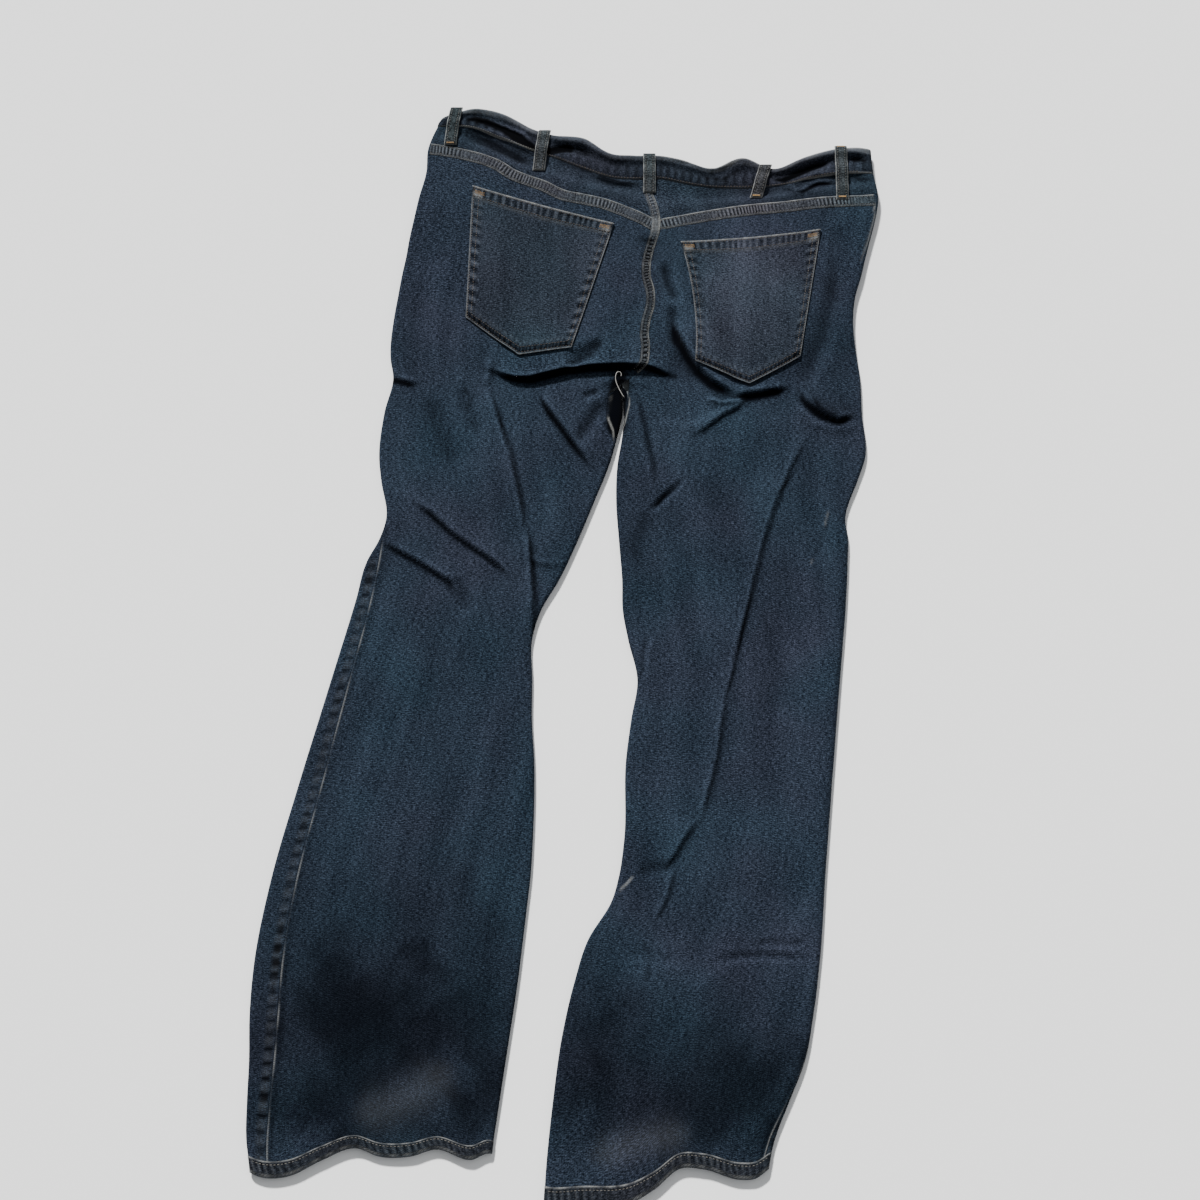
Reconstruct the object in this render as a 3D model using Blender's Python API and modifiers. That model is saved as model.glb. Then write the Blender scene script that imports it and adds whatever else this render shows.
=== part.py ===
"""Bootcut jeans laid flat on their front, back side up.

Every panel is a wall of cloth 1.4 mm thick. A row across the jeans is a flattened ring:
a flat stretch below, a half-round turn at each side and the draped stretch on top.
A point on a row is found from its distance along that ring, so the back panels, the front
panels and the waistband are stretches of the same rings, cut at the seams. Lengths in the
tables are millimetres in the plan view, +X to the right and +Y towards the waist. A row's
level is its Y where rows run straight across.
"""

import math

import bpy
import numpy as np

MM = 0.001
COLLECTION_NAME = "bootcut_jeans"

# Driving dimensions, in millimetres.
CLOTH = 1.4            # denim wall
SEAM_GAP = 0.3         # clearance between sewn pieces
FRONT_SEAM_GAP = 0.9   # the same, where the curved front waist is sewn to its band
TURN_RADIUS = 3.2      # half-round turn of the cloth at each side
CROWN_WIDTH = 38.0     # distance over which the edge height eases to the middle height
LAYER_GAP = 0.9        # least clearance between the upper and lower layers
PATCH_GAP = 0.7        # clearance under a patch pocket
PATCH_REACH = 6.0      # a patch lies on the highest cloth within this distance
LOOP_WIDTH = 12.5
LOOP_THICKNESS = 1.8
LOOP_GAP = 0.6         # clearance under the tacked ends of a belt loop
BUTTON_DIAMETER = 17.0
BUTTON_THICKNESS = 2.6
BAND_RISE = 3.4        # front waistband lies this high, on its button and loops
FLY_RISE = 2.0         # front panels of the seat lie this high, on the fly flap
FRONT_DROP = 45.0      # the front waist dips this far below the line of the sides
FRONT_CENTRE = 37.0    # X of the centre front seam and of the button

PLAN_CENTRE = (-0.2, -5.4)    # middle of the jeans in the tables' X and Y

# Levels of the horizontal seams.
WAIST_LEVEL = 515.0
BAND_LEVEL = 475.0
YOKE_LEVEL = 440.0
SEAT_LEVEL = 330.0     # rows are straight from here ...
CALF_LEVEL = -430.0    # ... down to here
HEM_LEVEL = -515.0
CROTCH_LEVEL = 238.0

# Side silhouettes, and how far in from them the side seam lies on top.
OUTER = (
    ("y", "left", "left_wrap", "right", "right_wrap"),
    (545, -130, 0, 290, 0),
    (525, -147, 0, 291, 0),
    (500, -158, 0, 291, 0),
    (470, -160, 0, 292.5, 0),
    (440, -167, 0, 296.5, 0),
    (418, -171, 0, 293, 0),
    (395, -175, 0, 287, 0),
    (373, -178, 0, 281, 0),
    (356, -181, 0, 277, 0),
    (328, -185, 0, 269, 0),
    (306, -188, 0, 266.5, 0),
    (262, -190, 0, 269, 0),
    (244, -187, 0, 271, 0),
    (205, -194.5, 0, 271.5, 0),
    (155, -198, 0, 272.5, 0),
    (134, -195.5, 0, 265, 0),
    (93, -189.5, 0, 251.5, 0),
    (72, -195.5, 3, 253.5, 0),
    (51, -206, 11, 252.5, 0),
    (11, -215.5, 14, 249.5, 0),
    (-69, -236, 17, 241, 0),
    (-172, -262.5, 21, 230, 0),
    (-260, -283.5, 23, 221, 0),
    (-334, -295, 25, 214, 0),
    (-387, -297, 25, 206, 0),
    (-424, -295.5, 22, 198, 0),
    (-459, -295.5, 20, 183.5, 1),
    (-493, -294.5, 18, 169.5, 4),
    (-520, -290, 15, 163, 7),
    (-550, -289, 14, 162, 8),
)

# Inner edge of each back panel: the centre back seam, then the inseam. The side is where the
# leg's cloth turns under, so the front panel shows between the two.
INNER = (
    ("y", "left", "left_side", "right", "right_side"),
    (500, 62, 36.9, 62, 37.1),
    (446, 66, 36.9, 66, 37.1),
    (429, 75, 36.9, 75, 37.1),
    (413, 76, 36.9, 76, 37.1),
    (398, 74, 36.9, 74, 37.1),
    (366, 65, 36.9, 65, 37.1),
    (343, 68.5, 36.9, 68.5, 37.1),
    (303, 60.5, 36.9, 60.5, 37.1),
    (270, 60.5, 36.9, 60.5, 37.1),
    (256, 57, 36.9, 57, 37.1),
    (248, 51.5, 36.9, 51.5, 37.1),
    (243, 47.3, 36.9, 47.5, 37.1),
    (240, 44.5, 36.9, 45.5, 37.1),
    (234, 36, 36.6, 44.5, 37.4),
    (228, 27, 36.5, 43.5, 37.9),
    (215, 23.5, 37.3, 43.5, 38.9),
    (198, 23, 37.3, 40.8, 39.4),
    (186, 28, 34.5, 38.5, 38.3),
    (172, 29, 31, 36.5, 36.4),
    (155, 26.5, 26.5, 33.5, 33.5),
    (113, 11, 11, 31.5, 31.5),
    (72, -5, -5, 34, 34),
    (31, -23, -23, 37, 37),
    (0, -40, -40, 37.5, 37.5),
    (-29, -48, -48, 42.5, 42.5),
    (-69, -47.5, -47.5, 51, 51),
    (-108, -47.5, -47.5, 45, 45),
    (-147, -45, -45, 40, 40),
    (-223, -45.5, -45.5, 38, 38),
    (-260, -47.5, -47.5, 32.5, 32.5),
    (-279, -49.5, -49.5, 27, 27),
    (-316, -53.5, -53.5, 5, 5),
    (-352, -57.5, -57.5, -6.5, -6.5),
    (-406, -65, -65, -18.5, -18.5),
    (-459, -72.5, -72.5, -25.5, -25.5),
    (-515, -79.5, -79.5, -31, -31),
    (-550, -80, -80, -33, -33),
)

# Y of the waist edge, the waistband seam and the yoke seam across the jeans.
WAIST = (
    ("x", "edge", "band", "yoke"),
    (-160, 522, 520, 502),
    (-135, 536, 522, 499),
    (-118, 540, 520, 495),
    (-84, 535, 506, 482),
    (-55, 520, 494, 464),
    (-30, 511, 485, 453),
    (0, 507, 472, 445),
    (27, 489, 462, 439),
    (50, 488, 460, 430),
    (76, 488, 461, 415),
    (103, 481, 455, 421),
    (130, 472, 451, 425),
    (158, 484, 450, 428.5),
    (194, 473, 453, 434),
    (226, 486, 460, 440),
    (255, 495, 465, 442.5),
    (285, 496, 467, 443.5),
    (300, 492, 467, 444),
)

# Y of the turned-up hem edge across each leg.
HEM = (
    ("x", "edge"),
    (-300, -515),
    (-280, -524),
    (-256, -523),
    (-229, -510),
    (-198, -499),
    (-178, -506),
    (-150, -506),
    (-128, -500),
    (-97, -509),
    (-79, -504),
    (-55, -538),
    (-33, -549),
    (0, -549),
    (45, -545),
    (64, -534),
    (85, -517),
    (106, -517),
    (139, -526),
    (152, -525),
    (165, -516),
)

# Height of the upper layer at the middle of the row.
LOFT = (
    ("level", "middle"),
    (515, 9.3),
    (475, 9.8),
    (440, 9.3),
    (400, 10.5),
    (340, 11.5),
    (280, 11.0),
    (236, 8.5),
    (190, 8.0),
    (120, 7.0),
    (0, 6.0),
    (-150, 5.6),
    (-430, 5.6),
    (-515, 6.6),
)

# Rolls that run all along the waistband and yoke, as a rise over the level.
ROLLS = (
    ("level", "rise"),
    (515, 0.0),
    (508, 0.8),
    (497, -0.6),
    (484, 0.2),
    (475, 0.0),
    (462, -1.2),
    (452, 0.8),
    (440, 0.0),
)

# Folds. Each runs from start to end, bowed to its left by bend in the middle. A fold with a
# run is a step: the cloth on its left is raised by the height, and eases down over the run.
# One with no run is a ridge, or a trough where its height is negative.
FOLDS = (
    ("x0", "y0", "x1", "y1", "bend", "height", "width", "run"),
    (-98, 248, 94, 238, -3, 8.0, 9, 60),        # seat over the thighs
    (86, 298, 126, 217, -6, 5.5, 9, 45),        # under the right pocket
    (116, 216, 198, 221, -7, 6.0, 9, 40),
    (205, 224, 264, 198, -9, 5.0, 8, 30),       # hollow at the right hip
    (-191, 247, -164, 236, 0, 3.0, 7, 18),      # nip at the left side
    (-119, 244, -105, 220, 4, 2.5, 7, 15),
    (-41, 221, 7, 147, 0, 4.0, 8, 25),          # drag line on the left thigh
    (-47, -22, -79, 185, -5, 3.5, 8, 25),       # long pleat of the left leg
    (-162, 112, -77, 43, 0, 3.0, 8, 25),        # creases behind the left knee
    (-197, 72, -136, 36, 0, 3.0, 8, 22),
    (-140, 40, -120, 12, 0, 2.5, 8, 15),
    (147, -24, 205, 150, 5, 3.0, 8, 30),        # long crease of the right leg
    (110, -199, 150, -16, 0, 3.0, 8, 30),
    (26, -287, 113, -195, 4, 4.0, 8, 30),
    (65, -28, 51, -82, 3, 3.0, 8, 18),          # pleat at the right knee
    (27, 237, -7, 176, 0, -3.5, 10, 0),         # hollows beside the crotch
    (34, 236, 33, 190, 0, -4.5, 9, 0),
    (62, 190, 72, 112, 3, -2.5, 7, 0),
    (89, 130, 49, 83, 0, -3.0, 7, 0),
    (-120, 222, -96, 180, 0, -2.0, 8, 0),
    (-148, 221, -122, 140, 0, -2.0, 13, 0),
    (76, 356, 168, 250, 0, -2.5, 22, 0),        # across the right pocket
    (66, 392, 66, 362, 0, -3.0, 12, 0),         # below the point of the yoke
    (242, 320, 210, 226, 0, -3.0, 12, 0),
    (-10, 258, 23, 276, 0, -3.0, 7, 0),
    (126, -330, 204, -330, 0, -1.5, 7, 0),
)

# Patch pockets: corners in plan.
POCKETS = {
    "pocket_left": {
        "top_left": (-112.5, 452.0), "top_right": (30.0, 409.0), "bottom_right": (-12.0, 270.5),
        "tip": (-64.0, 262.5), "bottom_left": (-116.5, 304.0), "top_bow": 2.0, "side_bow": 0.0,
    },
    "pocket_right": {
        "top_left": (96.5, 388.5), "top_right": (237.0, 402.5), "bottom_right": (212.5, 262.0),
        "tip": (162.0, 232.0), "bottom_left": (109.0, 255.0), "top_bow": 3.0, "side_bow": 6.0,
    },
}

# Belt loops: X at the waist edge and at the lower end, and the levels that they span.
LOOPS = (
    ("name", "x_top", "x_low", "top", "low", "bow"),
    ("belt_loop_side_left", -131, -136, 519, 441, 2.5),
    ("belt_loop_back_left", -40, -46, 519, 452, 3.0),
    ("belt_loop_centre", 66, 66, 517, 462, 2.5),
    ("belt_loop_back_right", 184, 173, 518, 455, 3.0),
    ("belt_loop_side_right", 260, 260, 517, 434, 3.0),
)
FRONT_LOOPS = (("belt_loop_front_left", -62), ("belt_loop_front_right", 176))
SCOOP_LEVEL = 402.5    # where the front pocket's opening meets the side seam
SCOOP_TIP = 3.0        # height of the facing's blunt lower tip above that
SCOOP_WIDTH = 100.0    # how far in it meets the waistband
FLY_TOP_LEVEL = 466.0
FLY_LOW_LEVEL = 305.0
FLY_WIDTH = 40.0
FLY_CURVE_LEVEL = 350.0    # the flap's edge curves in from here ...
FLY_TIP_WIDTH = 8.0        # ... to this width at its lower end
FLY_PAST = 4.0             # and it passes the centre front by this much
BAND_OVERLAP = 18.0    # each end of the waistband passes the centre front by this much
BAND_TURN_STEPS = (12.0, 9.0, 6.0, 3.0)
LAP_RAMP = 22.0        # the upper end of the band climbs onto the lower over this length
LAP_MARGIN = 6.0       # and is clear this far before it
LOOP_BELOW_BAND = 14.0     # a front loop starts this far below the waistband
SEAT_MARGIN = 12.0     # the rows of the seat run on past the centre back by this much
CROTCH_TURN = 16.0     # levels over which the front panels turn up at the crotch

# Spacing of the mesh rows, as (from, to, step) in levels.
YOKE_ROWS = ((BAND_LEVEL, YOKE_LEVEL, 11.7),)
BACK_ROWS = (
    (YOKE_LEVEL, SCOOP_LEVEL + SCOOP_TIP, 17.3), (SCOOP_LEVEL + SCOOP_TIP, SCOOP_LEVEL, SCOOP_TIP),
    (SCOOP_LEVEL, 290, 18.8), (290, 258, 8.0),
    (258, 218, 5.0), (218, 202, 8.0), (202, -50, 18.0), (-50, HEM_LEVEL, 35.8),
)
BACK_COLUMNS = 6       # even columns between the close ones at a back panel's edges
EDGE_STEPS = (0.0, 3.0, 6.5, 14.0)
FRONT_COLUMNS = 5      # even columns of a front panel's flat stretch
TURN_COLUMNS = 6       # columns of each of its turned-up edges
TURN_CROWDING = 1.7    # power that crowds those of the outer edge towards the fold
PATCH_CELLS = 10
BAND_ROLL_LEVELS = (484.0, 497.0, 508.0)


def column(table, name, at):
    """Smooth value of a table's named column, by cubic pieces through its rows."""
    header = table[0]
    rows = np.array(table[1:], dtype=float)
    keys = rows[:, 0]
    values = rows[:, header.index(name)]
    order = np.argsort(keys)
    keys = keys[order]
    values = values[order]
    slopes = np.gradient(values, keys)
    at = np.clip(np.asarray(at, dtype=float), keys[0], keys[-1])
    i = np.clip(np.searchsorted(keys, at) - 1, 0, len(keys) - 2)
    step = keys[i + 1] - keys[i]
    t = (at - keys[i]) / step
    return (
        values[i] * (1 + 2 * t) * (1 - t) ** 2
        + values[i + 1] * t * t * (3 - 2 * t)
        + step * slopes[i] * t * (1 - t) ** 2
        - step * slopes[i + 1] * t * t * (1 - t)
    )


def ease(low, high, at):
    """Smooth step from 0 at low to 1 at high."""
    t = np.clip((at - low) / (high - low), 0.0, 1.0)
    return t * t * (3 - 2 * t)


def graded(*runs):
    """Levels of the mesh rows, from runs of (start, end, nearly even step)."""
    levels = [runs[0][0]]
    for start, end, step in runs:
        count = max(1, round(abs(start - end) / step))
        levels.extend(start + (end - start) * (k + 1) / count for k in range(count))
    return np.array(levels, dtype=float)


def row_y(level, x):
    """Y of a row at X: straight in the legs, and bowed to the seams and hems at the ends."""
    level, x = np.broadcast_arrays(np.asarray(level, float), np.asarray(x, float))
    waist = column(WAIST, "edge", x)
    band = column(WAIST, "band", x)
    yoke = column(WAIST, "yoke", x)
    hem = column(HEM, "edge", x)
    seat = level + np.clip((level - SEAT_LEVEL) / (YOKE_LEVEL - SEAT_LEVEL), 0, 1) * (yoke - YOKE_LEVEL)
    calf = np.clip((CALF_LEVEL - level) / (CALF_LEVEL - HEM_LEVEL), 0, 1) * (hem - HEM_LEVEL)
    y = seat + calf
    over_yoke = yoke + (level - YOKE_LEVEL) / (BAND_LEVEL - YOKE_LEVEL) * (band - yoke)
    over_band = band + (level - BAND_LEVEL) / (WAIST_LEVEL - BAND_LEVEL) * (waist - band)
    y = np.where(level > YOKE_LEVEL, over_yoke, y)
    return np.where(level > BAND_LEVEL, over_band, y)


def level_at(x, y):
    """Level of a point of the seat, where rows are bowed towards the yoke seam."""
    pull = (column(WAIST, "yoke", x) - YOKE_LEVEL) / (YOKE_LEVEL - SEAT_LEVEL)
    bowed = (y + SEAT_LEVEL * pull) / (1 + pull)
    return np.where(y > SEAT_LEVEL, bowed, y)


def fold_heights(x, y):
    """Sum of all the folds at a point of the plan."""
    total = np.zeros(np.broadcast(x, y).shape)
    for x0, y0, x1, y1, bend, height, width, run in FOLDS[1:]:
        dx = x1 - x0
        dy = y1 - y0
        length = math.hypot(dx, dy)
        along = ((x - x0) * dx + (y - y0) * dy) / length ** 2
        t = np.clip(along, 0, 1)
        side = ((y - y0) * dx - (x - x0) * dy) / length - bend * 4 * t * (1 - t)
        fade = ease(-0.02, 0.22, along) * ease(1.02, 0.78, along)
        if run:
            profile = 0.5 * (1 + np.tanh(side / (0.5 * width))) * np.exp(-np.maximum(side, 0) / run)
        else:
            profile = np.exp(-(side / width) ** 2)
        total = total + height * fade * profile
    return total


def floor_rise(level):
    """Height of the lower layer: flat on the ground, and up over the fly and the button."""
    fly = FLY_RISE * ease(FLY_LOW_LEVEL - 45, FLY_LOW_LEVEL - 8, level)
    return fly + (BAND_RISE - FLY_RISE) * ease(395, 445, level)


def top_height(x, y, level):
    """Height of the upper layer's outer face at a point of the plan."""
    inside = np.minimum(x - column(OUTER, "left", y), column(OUTER, "right", y) - x)
    gap_left = column(INNER, "left_side", y)
    gap_right = column(INNER, "right_side", y)
    to_gap = np.where(x < 0.5 * (gap_left + gap_right), gap_left - x, x - gap_right)
    joined = CROWN_WIDTH * ease(CROTCH_LEVEL - 8, CROTCH_LEVEL + 4, y)
    inside = np.where(joined < CROWN_WIDTH, np.minimum(inside, to_gap + joined), inside)
    rim = 2 * TURN_RADIUS + floor_rise(level)
    middle = column(LOFT, "middle", level) + 0 * x
    crown = ease(0, CROWN_WIDTH, inside)
    height = rim + (middle - rim) * crown
    rolls = np.where(level > YOKE_LEVEL, column(ROLLS, "rise", level), 0.0)
    height = height + (rolls + fold_heights(x, y)) * ease(-1, 16, inside)
    least = floor_rise(level) + 2 * CLOTH + LAYER_GAP
    return np.maximum(height, least)


def front_y(level, x):
    """Y of a row underneath: like the back's, but its waist is one smooth shallow dip."""
    low = column(OUTER, "left", level) + 0 * x
    high = column(OUTER, "right", level) + 0 * x
    across = np.clip((x - low) / (high - low), 0, 1)
    smooth = row_y(level, low) * (1 - across) + row_y(level, high) * across
    smooth = smooth - FRONT_DROP * 4 * across * (1 - across)
    straight = row_y(level, x)
    return straight + (smooth - straight) * ease(SEAT_LEVEL, SEAT_LEVEL + 80, level)


def wall_drop(x, y, level):
    """Height of the upper layer's wall, measured straight down so that a slope is no thinner."""
    step = 1.0
    across = (top_height(x + step, y, level) - top_height(x - step, y, level)) / (2 * step)
    upward = (top_height(x, y + step, level) - top_height(x, y - step, level)) / (2 * step)
    return CLOTH * np.sqrt(1 + across ** 2 + upward ** 2)


def turn_length(offset):
    """Distance along the ring from its side to a point that is offset inwards on top."""
    on_turn = TURN_RADIUS * np.arccos(np.clip(1 - offset / TURN_RADIUS, -1, 1))
    quarter = 0.5 * math.pi * TURN_RADIUS
    return np.where(offset < TURN_RADIUS, on_turn, quarter + offset - TURN_RADIUS)


def ring_span(low, high):
    """Length of the upper half of a ring between its two sides."""
    return high - low - 2 * TURN_RADIUS + math.pi * TURN_RADIUS


def on_ring(along, level, low, high, inside):
    """Point of a ring's outer or inner face. Along runs over the top from 0 at the low side
    to the span at the high side, and on underneath, back to the low side at twice the span."""
    quarter = 0.5 * math.pi * TURN_RADIUS
    span = ring_span(low, high)
    around = np.mod(along, 2 * span)
    below = around > span
    mirrored = np.where(below, 2 * span - around, around)
    from_low = np.clip(mirrored / TURN_RADIUS, 0, math.pi / 2)
    from_high = np.clip((span - mirrored) / TURN_RADIUS, 0, math.pi / 2)
    x = low + TURN_RADIUS + (mirrored - quarter)
    x = np.where(mirrored < quarter, low + TURN_RADIUS * (1 - np.cos(from_low)), x)
    x = np.where(span - mirrored < quarter, high - TURN_RADIUS * (1 - np.cos(from_high)), x)
    turn = np.minimum(np.sin(from_low), np.sin(from_high))
    y = np.where(below, front_y(level, x), row_y(level, x))
    top = top_height(x, row_y(level, x), level)
    bottom = floor_rise(level) + 0 * x
    if inside:
        top = top - wall_drop(x, row_y(level, x), level)
        bottom = bottom + CLOTH
        x = x + CLOTH * (np.cos(from_low) - np.cos(from_high))
    half = 0.5 * (top - bottom) * turn
    height = 0.5 * (top + bottom) + np.where(below, -half, half)
    return np.stack([x, y, height], axis=-1)


def patch_height(x, y, level):
    """Height of the highest cloth close to a point of the plan."""
    height = top_height(x, y, level)
    for dx in (-PATCH_REACH, 0.0, PATCH_REACH):
        for dy in (-PATCH_REACH, 0.0, PATCH_REACH):
            height = np.maximum(height, top_height(x + dx, y + dy, level))
    return height


def ring_wall(name, along, level, low, high, material, lift=0.0):
    """Wall of cloth over the points of a ring at the places along and the rows level."""
    outer = on_ring(along, level, low[:, None], high[:, None], False)
    inner = on_ring(along, level, low[:, None], high[:, None], True)
    outer[..., 2] += lift
    inner[..., 2] += lift
    return shell_object(name, inner, outer, material)


def side_lines(level):
    """X of the two side folds along a row."""
    left = column(OUTER, "left", row_y(level, column(OUTER, "left", level)))
    right = column(OUTER, "right", row_y(level, column(OUTER, "right", level)))
    return left, right


def inner_line(side, level):
    """X of a back panel's inner edge along a row, and X of the leg's side there."""
    y = row_y(level, column(INNER, side, level))
    return column(INNER, side, y), column(INNER, side + "_side", y)


def spread(start, end, edge_steps, count):
    """Positions from start to end: close at both ends, even between."""
    steps = np.array(edge_steps)[None, :]
    start = start[:, None]
    end = end[:, None]
    way = np.sign(end - start)
    first = start + way * steps
    last = end - way * steps[:, ::-1]
    t = (np.arange(1, count) / count)[None, :]
    middle = first[:, -1:] + (last[:, :1] - first[:, -1:]) * t
    return np.concatenate([first, middle, last], axis=1)


def shell_object(name, inner, outer, material):
    """Closed wall between two grids of points, as an object of the jeans' collection."""
    rows, columns = outer.shape[:2]
    count = rows * columns
    index = np.arange(count).reshape(rows, columns)

    def triangles(low_left, low_right, high_right, high_left):
        split = [np.stack([low_left, low_right, high_right], axis=-1)]
        split.append(np.stack([low_left, high_right, high_left], axis=-1))
        return np.concatenate([part.reshape(-1, 3) for part in split])

    skin = triangles(index[:-1, :-1], index[:-1, 1:], index[1:, 1:], index[1:, :-1])
    rim = np.concatenate([index[0, :-1], index[:-1, -1], index[-1, :0:-1], index[:0:-1, 0]])
    following = np.roll(rim, -1)
    walls = triangles(following, rim, rim + count, following + count)
    faces = np.concatenate([skin, skin[:, ::-1] + count, walls])
    points = np.concatenate([outer.reshape(-1, 3), inner.reshape(-1, 3)])
    points = (points - np.array([*PLAN_CENTRE, 0.0])) * MM
    corners = points[faces]
    volume = (np.cross(corners[:, 0], corners[:, 1]) * corners[:, 2]).sum()
    if volume < 0:
        faces = faces[:, ::-1]
    mesh = bpy.data.meshes.new(name)
    mesh.from_pydata(points.tolist(), [], faces.tolist())
    mesh.shade_smooth()
    mesh.set_sharp_from_angle(angle=math.radians(50))
    mesh.materials.append(material)
    thing = bpy.data.objects.new(name, mesh)
    bpy.data.collections[COLLECTION_NAME].objects.link(thing)
    return thing


def make_material(name, colour, roughness, metallic=0.0):
    """Principled material of one colour."""
    material = bpy.data.materials.new(name)
    material.use_nodes = True
    shader = material.node_tree.nodes["Principled BSDF"]
    shader.inputs["Base Color"].default_value = (*colour, 1.0)
    shader.inputs["Roughness"].default_value = roughness
    shader.inputs["Metallic"].default_value = metallic
    return material


def back_columns(side, levels):
    """Sides of the ring that a back panel lies on, and the places of its columns along it."""
    left, right = side_lines(levels)
    inner, leg_side = inner_line(side, levels)
    hip = ease(CROTCH_LEVEL - 10, CROTCH_LEVEL, levels)
    sign = 1.0 if side == "left" else -1.0
    edge = leg_side + (inner + sign * SEAT_MARGIN - leg_side) * hip
    left_seam = turn_length(column(OUTER, "left_wrap", row_y(levels, left)))
    right_seam = turn_length(column(OUTER, "right_wrap", row_y(levels, right)))
    half_gap = 0.5 * SEAM_GAP
    if side == "left":
        low = left
        high = edge
        start = left_seam + half_gap
        end = ring_span(low, high) - turn_length(high - inner) - half_gap
    else:
        low = edge
        high = right
        start = turn_length(inner - low) + half_gap
        end = ring_span(low, high) - right_seam - half_gap
    return low, high, spread(start, end, EDGE_STEPS, BACK_COLUMNS)


def back_panel(name, side, rows, material):
    """Back leg panel or yoke: over the top, from the side seam to the inner seam."""
    levels = graded(*rows)
    levels[0] -= SEAM_GAP
    levels[-1] += SEAM_GAP if rows[-1][1] > HEM_LEVEL else 0.0
    low, high, along = back_columns(side, levels)
    row = levels[:, None] + 0 * along
    return ring_wall(name, along, row, low, high, material)


def front_inner(side, levels):
    """Inner side of the front panel's ring, and how far past that side the panel runs. It
    ends flat at the centre front and turns up into the crotch and the inseam below."""
    inner, leg_side = inner_line(side, levels)
    sign = 1.0 if side == "left" else -1.0
    angle = 0.5 * math.pi * (1 - ease(CROTCH_LEVEL + CROTCH_TURN, CROTCH_LEVEL, levels))
    edge = leg_side + sign * TURN_RADIUS * (1 - np.cos(angle))
    wrap = turn_length(np.maximum(sign * (leg_side - inner), 0.0))
    past = wrap * ease(CROTCH_LEVEL, CROTCH_LEVEL - CROTCH_TURN, levels) - angle * TURN_RADIUS
    return edge, past - 0.5 * SEAM_GAP


def scoop(levels):
    """Distance from the side fold of the front pocket's curved opening."""
    t = np.clip((levels - SCOOP_LEVEL) / (BAND_LEVEL - SCOOP_LEVEL), 0, 1)
    return SCOOP_WIDTH * np.sin(0.5 * math.pi * t)


def front_sides(side, levels):
    """Low and high sides of the ring that a front panel lies on."""
    left, right = side_lines(levels)
    edge, past = front_inner(side, levels)
    if side == "left":
        return left, edge, past
    return edge, right, past


def front_start(side, levels):
    """Where a front panel starts, as its signed distance from the outer side fold: above 0
    on top, below 0 underneath."""
    left, right = side_lines(levels)
    outer = left if side == "left" else right
    seam = turn_length(column(OUTER, side + "_wrap", row_y(levels, outer))) - 0.5 * SEAM_GAP
    return np.where(levels > SCOOP_LEVEL + 0.1, -scoop(levels) - 0.5 * SEAM_GAP, seam)


def ring_from_outside(side, distance, span):
    """Place along a ring of a signed distance from its outer side fold."""
    return distance if side == "left" else span - distance


def front_panel(side, material):
    """Front leg panel: from the side seam, underneath and up to the inseam."""
    levels = graded(*YOKE_ROWS, *BACK_ROWS)
    levels[0] -= FRONT_SEAM_GAP
    low, high, past = front_sides(side, levels)
    span = ring_span(low, high)
    start = front_start(side, levels)
    quarter = 0.5 * math.pi * TURN_RADIUS
    first_flat = np.minimum(start - 4.0, -quarter - 1.0)
    last_flat = -(span - quarter - 1.0)
    end = -(span + past)
    t_turn = 1 - np.linspace(1, 0, TURN_COLUMNS + 1)[None, :-1] ** TURN_CROWDING
    t_flat = np.linspace(0, 1, FRONT_COLUMNS + 1)[None, :-1]
    t_last = np.linspace(0, 1, TURN_COLUMNS + 1)[None, :]
    first = start[:, None] + (first_flat - start)[:, None] * t_turn
    flat = first_flat[:, None] + (last_flat - first_flat)[:, None] * t_flat
    last = last_flat[:, None] + (end - last_flat)[:, None] * t_last
    distance = np.concatenate([first, flat, last], axis=1)
    along = ring_from_outside(side, distance, span[:, None])
    row = levels[:, None] + 0 * along
    return ring_wall("front_" + side, along, row, low, high, material)


def front_pocket(side, material):
    """Facing that fills the curved opening of a front pocket."""
    levels = graded(*YOKE_ROWS, *BACK_ROWS[:1])
    levels[0] -= FRONT_SEAM_GAP
    low, high, past = front_sides(side, levels)
    span = ring_span(low, high)
    left, right = side_lines(levels)
    outer = left if side == "left" else right
    seam = turn_length(column(OUTER, side + "_wrap", row_y(levels, outer))) - 0.5 * SEAM_GAP
    edge = -scoop(levels) + 0.5 * SEAM_GAP
    turned = np.maximum(-2.0 * TURN_RADIUS, 0.7 * (edge - seam))
    t_turn = np.linspace(0, 1, 5)[None, :-1]
    t_flat = np.linspace(0, 1, 5)[None, :]
    first = seam[:, None] + turned[:, None] * t_turn
    flat = (seam + turned)[:, None] + (edge - seam - turned)[:, None] * t_flat
    distance = np.concatenate([first, flat], axis=1)
    along = ring_from_outside(side, distance, span[:, None])
    row = levels[:, None] + 0 * along
    return ring_wall("front_pocket_" + side, along, row, low, high, material)


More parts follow.
